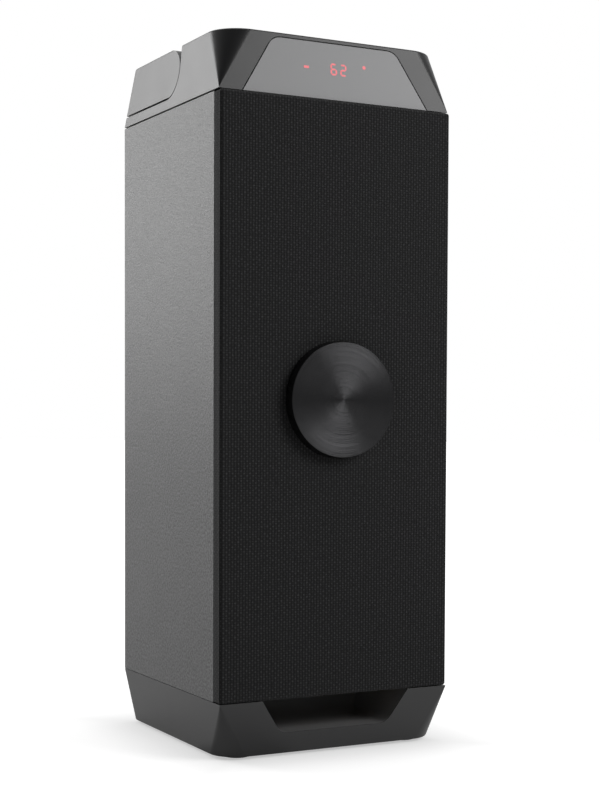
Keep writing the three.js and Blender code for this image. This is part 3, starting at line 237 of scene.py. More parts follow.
class NodeSheet:
    """A node tree, to which one method adds any node."""

    def __init__(self, tree):
        self.tree = tree
        tree.nodes.clear()

    def node(self, kind, settings=None, values=None):
        node = self.tree.nodes.new(kind)
        for name, value in (settings or {}).items():
            setattr(node, name, value)
        for key, value in (values or {}).items():
            self.feed(find_socket(node.inputs, key), value)
        return node

    def feed(self, socket, value):
        if isinstance(value, Signal):
            value = value.socket
        if isinstance(value, bpy.types.NodeSocket):
            self.tree.links.new(value, socket)
        else:
            socket.default_value = value

    def axes(self, vector):
        node = self.node("ShaderNodeSeparateXYZ", None, {0: vector})
        return [Signal(self, node.outputs[i]) for i in range(3)]


class Paint(NodeSheet):
    """A procedural material."""

    def __init__(self, name):
        self.material = bpy.data.materials.new(name)
        self.material.use_nodes = True
        super().__init__(self.material.node_tree)

    def place(self, centre=(0, 0, 0), turn=(0, 0, 0)):
        """Object coordinates, centred and turned for one piece."""
        source = self.node("ShaderNodeTexCoord").outputs["Object"]
        settings = {"vector_type": "TEXTURE"}
        values = {"Vector": source, "Location": centre, "Rotation": turn}
        return self.node("ShaderNodeMapping", settings, values).outputs[0]

    def noise(self, vector, size, detail, roughness=0.5):
        """Even noise whose blotches are about size metres across."""
        values = {"Vector": vector, "Scale": 1 / size, "Detail": detail, "Roughness": roughness}
        node = self.node("ShaderNodeTexNoise", {"normalize": True}, values)
        return Signal(self, find_socket(node.outputs, "Fac"))

    def rings(self, radius, pitch):
        """Uneven rings about pitch metres wide."""
        values = {"W": radius * (1 / pitch), "Scale": 1.0, "Detail": 0.0}
        node = self.node("ShaderNodeTexNoise", {"noise_dimensions": "1D"}, values)
        return Signal(self, find_socket(node.outputs, "Fac"))

    def cells(self, vector, size):
        """Distance from the middle of pebbles that are about size metres across."""
        values = {"Vector": vector, "Scale": 1 / size}
        node = self.node("ShaderNodeTexVoronoi", {"feature": "F1"}, values)
        return Signal(self, node.outputs["Distance"])

    def between(self, factor, first, second):
        """A colour between two others."""
        settings = {"data_type": "RGBA", "clamp_factor": True}
        values = {"Factor_Float": factor, "A_Color": opaque(first), "B_Color": opaque(second)}
        node = self.node("ShaderNodeMix", settings, values)
        return find_socket(node.outputs, "Result_Color")

    def tinted(self, factor, colour, low, high):
        """A colour that runs from low to high times itself."""
        return self.between(factor, shade(colour, low), shade(colour, high))

    def bump(self, height, depth, strength):
        """A bump whose height of 1 stands depth metres proud."""
        values = {"Height": height, "Distance": depth, "Strength": strength}
        return self.node("ShaderNodeBump", None, values).outputs[0]

    def finish(self, **values):
        """Ends the material in one shader, with names such as base_color."""
        named = {
            name.replace("_", " ").title().replace("Ior", "IOR"): value
            for name, value in values.items()
        }
        shader = self.node("ShaderNodeBsdfPrincipled", None, named)
        self.node("ShaderNodeOutputMaterial", None, {"Surface": shader.outputs[0]})
        return self.material


def opaque(value):
    """A colour with its fourth number, or a socket as it is."""
    return value if isinstance(value, bpy.types.NodeSocket) else (*value, 1.0)


def find_socket(sockets, key):
    """A socket by its number, its identifier or else its name."""
    if isinstance(key, int):
        return sockets[key]
    for socket in sockets:
        if socket.identifier == key:
            return socket
    return sockets[key]


def shade(colour, factor):
    """A colour made lighter or darker."""
    return tuple(part * factor for part in colour)


# Finishes


def moulded_plastic(
    name, colour, roughness, grain=0.0005, depth=0.00002, ior=1.46, top=None, slot_painted_light=None
):
    """Moulded plastic with a fine spark-eroded texture and faint flow marks.

    It is duller from the height top on, and a port slot in it is painted a paler grey, which is
    painted light inside the slot.
    """
    paint = Paint(name)
    place = paint.place()
    grains = paint.noise(place, grain, 2)
    flow = paint.noise(place, 0.035, 1)
    weight = flow * 0.6 + grains * 0.4
    tone = paint.tinted(weight, colour, 0.93, 1.07)
    # The slot's paler tone is painted light, standing in for light that reaches into it.
    if slot_painted_light is not None:
        inner = paint.tinted(weight, slot_painted_light, 0.85, 1.15)
        tone = paint.between(port_share(*paint.axes(place)), tone, inner)
    if top is not None:
        roughness += paint.axes(place)[2].ramped(top - 0.0014, top - 0.0004) * 0.18
    return paint.finish(
        base_color=tone,
        roughness=roughness + (grains - 0.5) * 0.08 + (flow - 0.5) * 0.05,
        normal=paint.bump(grains, depth, 0.6),
        ior=ior,
    )


def port_share(x, y, z):
    """1 inside the port slot, which begins just behind the base's sloping front, and else 0; it
    places the slot's painted light.
    """
    lean, front, back, half, floor, soft = -0.161, -0.1157, -0.03, 0.0865, 0.0225, 0.001
    behind_front = (y - (z * lean + front)).ramped(0.0006, 0.0012)
    near = behind_front * (1 - y.ramped(back, back + 2 * soft))
    return near * (half - x.absolute()).ramped(0, soft) * z.ramped(floor, floor + soft)


def wrapped_vinyl(name):
    """Vinyl film pressed with a fine pebble grain, over fibreboard."""
    paint = Paint(name)
    place = paint.place()
    pebble = paint.cells(place, 0.0013)
    mottle = paint.noise(place, 0.0026, 2, 0.6)
    cloud = paint.noise(place, 0.05, 2)
    weight = (mottle - 0.5) * 3.1 + (cloud - 0.5) * 0.2 + pebble * 0.3 + 0.4
    return paint.finish(
        base_color=paint.tinted(weight, colour("vinyl"), 0.25, 1.9),
        roughness=0.46 + (mottle - 0.5) * 0.32,
        normal=paint.bump(pebble * 0.4 + mottle, 0.0003, 0.9),
        ior=1.56,
    )


def knitted_cloth(name, colour, width, height):
    """Stretched warp-knitted cloth, whose columns of loops stand half a step apart."""
    paint = Paint(name)
    uv = paint.node("ShaderNodeUVMap", {"uv_map": "knit"}).outputs[0]
    across, up, _ = paint.axes(uv)
    sway = paint.noise(uv, 0.014, 2)
    fuzz = paint.noise(uv, 0.0009, 3, 0.7)
    patch = paint.noise(uv, 0.0042, 2, 0.6)
    columns = (across * (math.pi / width) + sway * 0.9).cos()
    rows = (up * (math.pi / height) + sway * 0.7).cos()
    ribs = (across * (2 * math.pi / width) + sway * 1.8).cos()
    courses = (up * (2 * math.pi / height) + sway * 1.4).cos()
    loops = columns * rows * 0.11 + ribs * 0.16 + courses * 0.09 + 0.5
    crowns = (loops + (fuzz - 0.5) * 1.1).ramped(0.4, 0.9)
    return paint.finish(
        base_color=paint.tinted(crowns * (patch * 3 - 0.6), colour, 0.6, 3.4),
        roughness=0.9,
        sheen_weight=0.12,
        sheen_roughness=0.5,
        normal=paint.bump(loops + fuzz * 0.3, 0.0009, 0.8),
        specular_ior_level=0.25,
    )


def spun_metal(name, colour, centre, turn, roughness, depth):
    """Dark anodised metal with the fine rings that a lathe tool leaves round its middle."""
    paint = Paint(name)
    x, y, _ = paint.axes(paint.place(centre, turn))
    radius = (x * x + y * y) ** 0.5
    grooves = paint.rings(radius, 0.00028)
    bands = paint.rings(radius, 0.0016)
    return paint.finish(
        base_color=paint.tinted(bands, colour, 0.97, 1.03),
        metallic=0.85,
        roughness=roughness + (bands - 0.5) * 0.015,
        normal=paint.bump(grooves, depth, 1.0),
    )


def grained(name, colour, roughness, first, second, share, tones, uneven, bump, **shader):
    """A plain finish of two noises: both vary the tone, one the height and one the gloss."""
    paint = Paint(name)
    place = paint.place()
    first, second = paint.noise(place, *first), paint.noise(place, *second)
    if uneven:
        roughness += (second - 0.5) * uneven
    return paint.finish(
        base_color=paint.tinted(first * share + second * (1 - share), colour, *tones),
        roughness=roughness,
        normal=paint.bump(first, *bump),
        **shader,
    )


def fibreboard(name, colour):
    """Bare fibreboard: matted pale and dark fibres."""
    fibres, cloud = (0.0012, 6, 0.75), (0.03, 2)
    return grained(name, colour, 0.85, fibres, cloud, 0.8, (0.7, 1.25), 0, (0.0001, 0.5))


def plain_metal(name, colour, roughness, metallic=1.0, grain=0.0015):
    """Pressed or plated metal with faint smears."""
    smear, cloud = (grain, 3, 0.6), (0.02, 2)
    look = (smear, cloud, 0.5, (0.88, 1.1), 0.12, (0.00002, 0.5))
    return grained(name, colour, roughness, *look, metallic=metallic)


def soft_rubber(name, colour, roughness=0.8):
    """Moulded rubber or paper pulp: dull, with a fine blotch and grain."""
    grains, dust = (0.0007, 4, 0.7), (0.012, 3)
    look = (grains, dust, 0.5, (0.75, 1.35), 0.15, (0.00006, 0.6))
    return grained(name, colour, roughness, *look, specular_ior_level=0.35)


def smoked_window(name, colour):
    """Glossy smoked acrylic, very slightly uneven; its pale grey tone is partly its own and partly
    painted reflection.
    """
    cloud, dust = (0.06, 1), (0.0009, 2)
    look = (cloud, dust, 0.7, (0.97, 1.03), 0.06, (0.0002, 0.3))
    return grained(name, colour, 0.42, *look, ior=1.43)


def circuit_board(name, colour):
    """Green lacquered board with paler copper tracks under the lacquer."""
    paint = Paint(name)
    place = paint.place()
    values = {"Vector": place, "Scale": 130.0, "Mortar Size": 0.06}
    tracks = paint.node("ShaderNodeTexBrick", {"offset": 0.5}, values)
    lines = Signal(paint, tracks.outputs["Fac"])
    specks = paint.noise(place, 0.002, 2)
    tone = paint.tinted(lines * 0.5 + specks * 0.3, colour, 0.8, 1.7)
    relief = paint.bump(lines, 0.00004, 0.6)
    return paint.finish(base_color=tone, roughness=0.38, normal=relief, ior=1.5)


def printed_mark(name, level):
    """Pale printed marks, a little worn."""
    paint = Paint(name)
    wear = paint.noise(paint.place(), 0.0012, 3, 0.7)
    tone = paint.tinted(wear, (level, level, level - 0.01), 0.85, 1)
    return paint.finish(base_color=tone, roughness=0.5)


def lit_mark(name, colour):
    """A lit segment: red light that is a little uneven behind the window."""
    paint = Paint(name)
    light = paint.tinted(paint.noise(paint.place(), 0.002, 2), colour, 0.82, 1)
    unlit = (0.05, 0.01, 0.01, 1)
    return paint.finish(base_color=unlit, roughness=0.4, emission_color=light, emission_strength=1)


# Mesh making


def added(name, data):
    """A new object with some data, in the scene."""
    item = bpy.data.objects.new(name, data)
    bpy.context.scene.collection.objects.link(item)
    return item


def removed(piece):
    mesh = piece.data
    bpy.data.objects.remove(piece)
    bpy.data.meshes.remove(mesh)


def mesh_object(name, points, faces):
    """An object at the origin whose points are given in millimetres of the row's frame."""
    mesh = bpy.data.meshes.new(name)
    mesh.from_pydata([Vector(p) * MM for p in points], [], faces)
    mesh.validate()
    return added(name, mesh)


def edited(piece, work):
    """Runs work on the piece's mesh as a bmesh and puts it back."""
    shape = bmesh.new()
    shape.from_mesh(piece.data)
    work(shape)
    shape.to_mesh(piece.data)
    shape.free()
    piece.data.update()
    return piece


def merged(name, pieces):
    """Puts the meshes of some pieces together in the first."""

    def work(shape):
        for piece in pieces[1:]:
            shape.from_mesh(piece.data)
            removed(piece)

    edited(pieces[0], work)
    pieces[0].name = name
    return pieces[0]


def outward(piece):
    """Faces point outwards, once coinciding points are one."""

    def work(shape):
        bmesh.ops.remove_doubles(shape, verts=shape.verts, dist=WELD)
        bmesh.ops.recalc_face_normals(shape, faces=shape.faces)

    return edited(piece, work)


def flattened(shape, degrees):
    """Makes one face of neighbours that lie within an angle of one plane."""
    angle = math.radians(degrees)
    bmesh.ops.dissolve_limit(shape, angle_limit=angle, verts=shape.verts, edges=shape.edges)


def hull(name, points):
    """The convex body round some points."""

    def work(shape):
        result = bmesh.ops.convex_hull(shape, input=shape.verts)
        spare = {v for key in ("geom_interior", "geom_unused") for v in result[key]}
        spare = [v for v in spare if isinstance(v, bmesh.types.BMVert)]
        bmesh.ops.delete(shape, geom=spare, context="VERTS")
        flattened(shape, 0.05)

    return outward(edited(mesh_object(name, points, []), work))


def band(near, far, count):
    """Four-sided faces between two closed rows of points that begin at near and at far."""
    nexts = [(i + 1) % count for i in range(count)]
    return [(near + i, near + j, far + j, far + i) for i, j in enumerate(nexts)]


def prism(name, outline, axis, start, end):
    """An outline carried along an axis: (x, y) along z, (x, z) along y, or (y, z) along x."""

    def put(point, along):
        a, b = point
        return {"z": (a, b, along), "y": (a, along, b), "x": (along, a, b)}[axis]

    count = len(outline)
    points = [put(p, start) for p in outline] + [put(p, end) for p in outline]
    faces = [tuple(range(count)), tuple(range(count, 2 * count)), *band(0, count, count)]
    return outward(mesh_object(name, points, faces))


def rectangle(low, high):
    return [(low[0], low[1]), (high[0], low[1]), (high[0], high[1]), (low[0], high[1])]


def block(name, low, high):
    return prism(name, rectangle(low, high), "z", low[2], high[2])


def circle(place, radius, sides):
    turns = [2 * math.pi * k / sides for k in range(sides)]
    return [(place[0] + radius * math.cos(t), place[1] + radius * math.sin(t)) for t in turns]


def bar(name, radius, axis, place, start, end, sides=32):
    """A round bar along an axis through place, given in the other two coordinates."""
    return prism(name, circle(place, radius, sides), axis, start, end)


def lathe(name, profile, sides, place, axis="z"):
    """A closed profile of (radius, height) turned about an axis through place."""
    points = []
    for k in range(sides):
        angle = 2 * math.pi * k / sides
        for radius, height in profile:
            a, b = radius * math.cos(angle), radius * math.sin(angle)
            local = {"z": (a, b, height), "-y": (a, -height, b), "y": (a, height, b)}[axis]
            points.append([u + v for u, v in zip(local, place)])
    count = len(profile)
    rows = [k * count for k in range(sides)]
    faces = [f for near, far in zip(rows, [*rows[1:], 0]) for f in band(near, far, count)]
    return outward(mesh_object(name, points, faces))


def soft_outline(corners, steps):
    """Corners given as (x, y, distance cut back), joined by soft bends."""
    outline = []
    count = len(corners)
    for i, (x, y, back) in enumerate(corners):
        if back <= 0:
            outline.append((x, y))
            continue
        here = Vector((x, y))
        before = Vector(corners[i - 1][:2])
        after = Vector(corners[(i + 1) % count][:2])
        first = here + (before - here).normalized() * back
        last = here + (after - here).normalized() * back
        for k in range(steps + 1):
            t = k / steps
            bend = first * (1 - t) ** 2 + here * 2 * t * (1 - t) + last * t**2
            outline.append((bend.x, bend.y))
    return outline


def soft_rectangle(middle, half, corner, steps=6):
    """A rectangle of two half sizes about its middle, with soft corners."""
    low, high = ([m + way * h for m, h in zip(middle, half)] for way in (-1, 1))
    return soft_outline([(*c, corner) for c in rectangle(low, high)], steps)


def arc(centre, radius, start, end, steps):
    """Points on an arc, with its angles in degrees."""
    turns = [math.radians(start + (end - start) * k / steps) for k in range(steps + 1)]
    return [(centre[0] + radius * math.cos(t), centre[1] + radius * math.sin(t)) for t in turns]


def plan_between(wide, narrow, along):
    return {key: wide[key] + (narrow[key] - wide[key]) * along for key in wide}


def drawn_in(plan, by):
    return {
        "half": plan["half"] - by,
        "front": plan["front"] + by,
        "rear": plan["rear"] - by,
        "front_radius": max(plan["front_radius"] - by, 0),
        "rear_radius": max(plan["rear_radius"] - by, 0),
        "crease": plan["crease"],
    }


def plan_points(plan, z, steps):
    """One level's outline at height z, whose front bends meet the front at a crease."""
    rear, front, crease = plan["rear_radius"], plan["front_radius"], plan["crease"]
    rear_y = plan["rear"] - rear
    front_y = plan["front"] + front * math.cos(math.radians(crease))
    corners = [
        (1, rear_y, rear, 0, 90),
        (-1, rear_y, rear, 90, 180),
        (-1, front_y, front, 180, 270 - crease),
        (1, front_y, front, 270 + crease, 360),
    ]
    points = []
    for side, y, radius, start, finish in corners:
        centre = (side * (plan["half"] - radius), y)
        bend = arc(centre, radius, start, finish, steps) if radius > 0 else [centre]
        points += [(a, b, z) for a, b in bend]
    return points


def tapered_block(name, wide, narrow, heights, edge, steps=64, rim_steps=5):
    """Sharp-cornered at the wide end and round-cornered at the narrow end, whose rim is rounded."""
    start, end = heights
    rise = end - start
    share = edge / abs(rise)
    points = plan_points(wide, start, steps)
    for k in range(rim_steps + 1):
        angle = math.pi / 2 * k / rim_steps
        along = 1 - share * (1 - math.sin(angle))
        level = drawn_in(plan_between(wide, narrow, along), edge * (1 - math.cos(angle)))
        points += plan_points(level, start + rise * along, steps)
    return hull(name, points)


def shifted(piece, x=0.0, y=0.0, z=0.0):
    piece.data.transform(Matrix.Translation(Vector((x, y, z)) * MM))
    return piece


def turned(piece, degrees, axis, x=0.0, y=0.0, z=0.0):
    """Turns a piece about an axis through the origin, and then shifts it."""
    piece.data.transform(Matrix.Rotation(math.radians(degrees), 4, axis))
    return shifted(piece, x, y, z)


def leant(piece):
    """Leans a piece drawn against an upright face back on to the cap's front face."""
    tilt = math.degrees(math.atan2(CAP.lean, CAP.height))
    return turned(piece, -tilt, "X", y=CAP.front)


def copied(piece, name):
    return added(name, piece.data.copy())


def combine(piece, tools, operation):
    """Cuts, joins or intersects a piece with tools, which are used up."""
    for tool in tools:
        step = piece.modifiers.new("combine", "BOOLEAN")
        step.operation = operation
        step.solver = "EXACT"
        step.object = tool
        applied(piece)
        removed(tool)
    return piece


def cut(piece, *tools):
    return combine(piece, tools, "DIFFERENCE")


def join(piece, *tools):
    return combine(piece, tools, "UNION")


def common(piece, tool):
    return combine(piece, [tool], "INTERSECT")


def applied(piece):
    """Turns a piece's modifiers into its plain mesh."""
    bpy.context.view_layer.update()
    graph = bpy.context.evaluated_depsgraph_get()
    mesh = bpy.data.meshes.new_from_object(piece.evaluated_get(graph))
    old = piece.data
    piece.modifiers.clear()
    piece.data = mesh
    mesh.name = piece.name
    bpy.data.meshes.remove(old)
    return piece


def soften(piece, width, steps=2):
    """Rounds the sharp edges, once slivers and needless edges are gone."""
    sliver, flat, sharp = 2e-5, 0.2, 32

    def work(shape):
        bmesh.ops.remove_doubles(shape, verts=shape.verts, dist=sliver)
        bmesh.ops.dissolve_degenerate(shape, edges=shape.edges, dist=sliver)
        flattened(shape, flat)

    edited(piece, work)
    bevel = piece.modifiers.new("edges", "BEVEL")
    bevel.width = width * MM
    bevel.segments = steps
    bevel.limit_method = "ANGLE"
    bevel.angle_limit = math.radians(sharp)
    return applied(piece)


def smoothed(piece, angle):
    """Smooth shading up to sharp edges; slim facets and a broad face's corners stay flat."""
    long, slim, broad = 30 * MM, 60 * MM**2, 200 * MM**2
    aslant = 0.2
    mesh = piece.data
    mesh.polygons.foreach_set("use_smooth", [True] * len(mesh.polygons))
    mesh.set_sharp_from_angle(angle=math.radians(angle))

    def work(shape):
        bmesh.ops.remove_doubles(shape, verts=shape.verts, dist=WELD)
        bmesh.ops.dissolve_degenerate(shape, edges=shape.edges, dist=WELD)
        for face in shape.faces:
            longest = max(edge.calc_length() for edge in face.edges)
            if longest > long and face.calc_area() < slim:
                face.smooth = False

    edited(piece, work)
    piece.modifiers.new("normals", "WEIGHTED_NORMAL").keep_sharp = True
    mesh = applied(piece).data
    normals = [corner.vector.copy() for corner in mesh.corner_normals]
    for face in mesh.polygons:
        if face.area > broad:
            for loop in face.loop_indices:
                if normals[loop].angle(face.normal, 0) > aslant:
                    normals[loop] = face.normal.copy()
    mesh.normals_split_custom_set(normals)


def finished(piece, body, material, replaces=(), smooth=30):
    """Gives a piece its finish, its body and the CAD nodes that it stands for."""
    if smooth:
        smoothed(piece, smooth)
    mesh = piece.data
    mesh.materials.clear()
    mesh.materials.append(material)
    mesh.polygons.foreach_set("material_index", [0] * len(mesh.polygons))
    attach(piece, body)
    if replaces:
        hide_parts(*replaces)


def dress(material, *nodes):
    """Gives CAD nodes a procedural finish."""
    for name in nodes:
        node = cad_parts[name]
        if not node.material_slots:
            node.data.materials.append(material)
        for slot in node.material_slots:
            slot.material = material


# Sizes and colours that a user would change


def length(name, description, default):
    return FloatProperty(name=name, description=description, default=default, unit="LENGTH")


def tint(name, description, default):
    return FloatVectorProperty(
        name=name, description=description, default=default, subtype="COLOR", min=0, max=1
    )


class SpeakerSizes(bpy.types.PropertyGroup):
    """Sizes of the finished details."""

    knit_width: length("Knit width", "Distance between the cloth's columns of loops", 0.00315)
    knit_height: length("Knit height", "Distance between the cloth's rows of loops", 0.0024)
    cloth_round: length("Cloth bend", "Radius at which the cloth bends over its frame", 0.0018)
    board_round: length("Board edge", "Radius of the wrapped boards' edges", 0.0004)
    moulding_round: length("Moulding edge", "Radius of the edges of cap, handle and base", 0.0005)
    knob_ribs: IntProperty(
        name="Knob ribs", description="Number of grip ribs round the knob", default=60, min=12
    )


class SpeakerColours(bpy.types.PropertyGroup):
    """Colours of the finishes."""

    satin: tint("Cap plastic", "Cap and handle", (0.0186, 0.0186, 0.0192))
    base: tint("Base plastic", "Base moulding", (0.024, 0.024, 0.02475))
    vinyl: tint("Vinyl", "Side and rear boards", (0.085, 0.085, 0.086))
    cloth: tint("Cloth", "Knitted front", (0.0125, 0.0125, 0.013))
    disc: tint("Disc", "Anodised disc and knob", (0.036, 0.036, 0.0375))
    # The window's pale grey is partly painted reflection.
    window: tint("Window", "Display window", (0.285, 0.285, 0.29))
    marks: tint("Lit marks", "Digits and marks in the window", (0.84, 0.145, 0.165))


def size(name):
    """A size that a user can change, in millimetres."""
    return getattr(bpy.context.scene.speaker_sizes, name) / MM


def colour(name):
    return tuple(getattr(bpy.context.scene.speaker_colours, name))


# Cap and handle


def handle_space():
    """The side view, in (y, z), of the room round the handle."""
    y, z = GRIP.y, GRIP.z
    radius = GRIP.radius + GRIP.gap
    above = CAP.height + 2
    bend = arc((y, z), radius, 180, 270, 24)
    return [(y - radius, above), *bend, (REACH, z - radius), (REACH, above)]


def handle_outline():
    """The side view, in (y, z), of the handle, whose front end is drawn back towards its top."""
    y, z, radius = GRIP.y, GRIP.z, GRIP.radius
    below = math.degrees(math.asin(GRIP.drop / radius))
    rise, back = CAP.height - z, GRIP.draw_back
    quarter = arc((0, 0), 1, 90, 180, 40)
    top = [(y - radius + back * (1 + a), z + rise * b) for a, b in quarter]
    bend = arc((y, z), radius, 180, 180 + below, 40)
    return [*top, *bend[1:], (REACH, z - GRIP.drop), (REACH, CAP.height)]


def window_outline(grow, below):
    """The window's outline in (x, z), grown all round and carried on below its bottom edge."""
    lean = (WINDOW.bottom - WINDOW.top) / WINDOW.height
    top, corner = WINDOW.height + grow, WINDOW.corner
    low, high = (WINDOW.bottom - lean * z + grow * math.hypot(1, lean) for z in (-below, top))
    ends = [(-low, -below, 0), (low, -below, 0), (high, top, corner), (-high, top, corner)]
    return soft_outline(ends, 10)


def panel_outline(draw):
    """The control panel's outline, drawn in all round."""
    half = (PANEL.width / 2 - draw, PANEL.depth / 2 - draw)
    return soft_rectangle((0, PANEL.y), half, PANEL.corner - draw / 2, 10)


def cap_hollow():
    """The room inside the island, open below, and the lower room behind it."""
    top = CAP.height - PANEL.wall
    back = ISLAND.rear - CAP.wall
    half = ISLAND.half - CAP.wall
    low_front, top_front = (
        CAP.front + CAP.front_wall + CAP.lean * z / CAP.height for z in (-2, top)
    )
    side = [(low_front, -2), (back, -2), (back, top), (top_front, top)]
    skirt = block("skirt", (-half, back - 2, -2), (half, 124, SPIGOT.high))
    return join(prism("room", side, "x", -half, half), skirt)


def spigot(name, front, low, high):
    """The hidden ring that seats a moulding on the cabinet."""
    outer, inner = SPIGOT.inset, SPIGOT.inset + SPIGOT.wall
    half, room = HALF - outer, HALF - inner
    ring = block(name, (-half, front + outer, low), (half, half, high))
    return cut(ring, block("inside", (-room, front + inner, low - 2), (room, room, high + 2)))


def cap_body():
    top = CAP.height
    cap = tapered_block("cap_moulding", CAP_WIDE, CAP_NARROW, (0, top), CAP.edge)
    space = prism("space", handle_space(), "x", -REACH, REACH)
    half = ISLAND.half
    island = block("island", (-half, CAP_NARROW["front"], -1), (half, ISLAND.rear, top + 4))
    cut(cap, cut(space, island), cap_hollow())
    join(cap, spigot("cap_spigot", CAP.front, SPIGOT.low, SPIGOT.high))
    line = WINDOW.line
    recess = leant(prism("recess", window_outline(line, 2), "y", -2, WINDOW.thick + line))
    half, low, high = LAMP_SLOT.half, LAMP_SLOT.low, LAMP_SLOT.high
    slot = leant(block("slot", (-half, 0, low), (half, LAMP_SLOT.deep, high)))
    low = top - PANEL.thick - CLEARANCE
    seat = prism("seat", panel_outline(-CLEARANCE), "z", low, top + 2)
    opening = prism("opening", panel_outline(PANEL.ledge), "z", top - PANEL.wall - 2, top)
    end = GRIP.pin_end
    pins = bar("pins", GRIP.pin + CLEARANCE, "x", (GRIP.y, GRIP.z), -end, end)
    return cut(cap, recess, slot, seat, opening, pins)


def handle_body():
    top = CAP.height
    handle = tapered_block("handle_moulding", CAP_WIDE, CAP_NARROW, (0, top), CAP.edge)
    common(handle, prism("side_view", handle_outline(), "x", -REACH, REACH))
    arm = ISLAND.half + GRIP.side_gap
    inside = block("inside", (-arm, -REACH, -2), (arm, GRIP.bar_inner, top + 2))
    scoop_place = (GRIP.bar_inner, GRIP.z - GRIP.drop + GRIP.scoop_height)
    half = arm - GRIP.scoop_end
    scoop = bar("scoop", GRIP.scoop_radius, "x", scoop_place, -half, half, 64)
    reach = arm + GRIP.pin_reach
    bore = bar("bore", GRIP.pin + GRIP.pin_gap, "x", (GRIP.y, GRIP.z), -reach, reach)
    return cut(handle, inside, scoop, bore)


class SPEAKER_OT_add_cap(bpy.types.Operator):
    """Makes the cap moulding and the carry handle that lies in its back"""

    bl_idname = "speaker.add_cap"
    bl_label = "Cap and handle"

    def execute(self, context):
        top = (CAP_Z + CAP.height) * MM
        plastic = moulded_plastic("satin_plastic", colour("satin"), 0.32, ior=1.415, top=top)
        width = size("moulding_round")
        cap = soften(shifted(cap_body(), y=MIDDLE_Y, z=CAP_Z), width)
        finished(cap, "cabinet", plastic, ["cap_shell"])
        handle = soften(shifted(handle_body(), y=MIDDLE_Y, z=CAP_Z), width * 1.6, 3)
        finished(handle, "handle", plastic, ["carry_handle"])
        return {"FINISHED"}


# Repeated pieces, laid out by Geometry Nodes


class Layout(NodeSheet):
    """A node tree that repeats a mesh on points; its inputs are named."""

    def __init__(self, name, **inputs):
        super().__init__(bpy.data.node_groups.new(name, "GeometryNodeTree"))
        face = self.tree.interface
        kinds = {"Geometry": "NodeSocketGeometry", "Material": "NodeSocketMaterial", **inputs}
        for label, kind in kinds.items():
            face.new_socket(label, in_out="INPUT", socket_type=kind)
        face.new_socket("Geometry", in_out="OUTPUT", socket_type="NodeSocketGeometry")
        self.given = self.node("NodeGroupInput").outputs

    def ends(self, points, rotation=None):
        """Puts the given mesh on the points, as plain mesh in the given material."""
        values = {"Points": points, "Instance": self.given["Geometry"]}
        if rotation is not None:
            values["Rotation"] = rotation
        placed = self.node("GeometryNodeInstanceOnPoints", None, values).outputs[0]
        plain = self.node("GeometryNodeRealizeInstances", None, {"Geometry": placed}).outputs[0]
        values = {"Geometry": plain, "Material": self.given["Material"]}
        coated = self.node("GeometryNodeSetMaterial", None, values).outputs[0]
        self.node("NodeGroupOutput", None, {"Geometry": coated})
        return self.tree


def ring_layout():
    """Repeats a mesh round the z axis, each one turned to face outward."""
    layout = Layout("ring_layout", Count="NodeSocketInt", Radius="NodeSocketFloat")
    count, radius = layout.given["Count"], layout.given["Radius"]
    ring = layout.node("GeometryNodeMeshCircle", None, {"Vertices": count, "Radius": radius})
    index = Signal(layout, layout.node("GeometryNodeInputIndex").outputs[0])
    turn = index * (2 * math.pi) / Signal(layout, count)
    rotation = layout.node("ShaderNodeCombineXYZ", None, {"Z": turn}).outputs[0]
    return layout.ends(ring.outputs[0], rotation)


def grid_layout():
    """Repeats a mesh on a grid in the x-y plane."""
    sizes_and_counts = {"Width": "NodeSocketFloat", "Height": "NodeSocketFloat"}
    layout = Layout("grid_layout", **sizes_and_counts, Across="NodeSocketInt", Up="NodeSocketInt")
    names = {"Size X": "Width", "Size Y": "Height", "Vertices X": "Across", "Vertices Y": "Up"}
    values = {socket: layout.given[name] for socket, name in names.items()}
    return layout.ends(layout.node("GeometryNodeMeshGrid", None, values).outputs[0])


def repeated(piece, layout, material, **values):
    """Repeats a piece's own mesh by a layout, with its named inputs."""
    step = piece.modifiers.new("repeat", "NODES")
    step.node_group = layout
    given = {"Material": material, **values}
    for item in layout.interface.items_tree:
        if item.in_out == "INPUT" and item.name in given:
            step[item.identifier] = given[item.name]
    applied(piece)
    bpy.data.node_groups.remove(layout)
    return piece


# Controls on the top


def key_places():
    """The keys' places in (x, y) about the panel's middle."""
    ring = KEY.ring
    turns = {name: 2 * math.pi * share for name, share in KEY_TURNS.items()}
    return {name: (ring * math.cos(t), ring * math.sin(t)) for name, t in turns.items()}


def key_marks():
    """Plain symbols for the keys, as outlines in (x, y) about each key's middle."""

    def arrow(x, way):
        return [(x - 1.3 * way, -1.6), (x + 1.5 * way, 0), (x - 1.3 * way, 1.6)]

    ring = arc((0, -0.2), 2.3, 122, 418, 24) + arc((0, -0.2), 1.7, 418, 122, 24)
    pause = [rectangle((x, -1.6), (x + 0.6, 1.6)) for x in (1, 2.2)]
    sliders = ((-1.6, 0.2), (0, 1.9), (1.6, 1))
    return {
        "power": [ring, rectangle((-0.3, -0.1), (0.3, 2.7))],
        "source": [rectangle((-2.2, y - 0.3), (2.2, y + 0.3)) for y in (-1.6, 0, 1.6)],
        "previous": [arrow(-1.2, -1), arrow(1.7, -1)],
        "play": [arrow(-1.2, 1), *pause],
        "next": [arrow(-1.7, 1), arrow(1.2, 1)],
        "tone": [rectangle((x - 0.35, -1.8), (x + 0.35, top)) for x, top in sliders],
    }


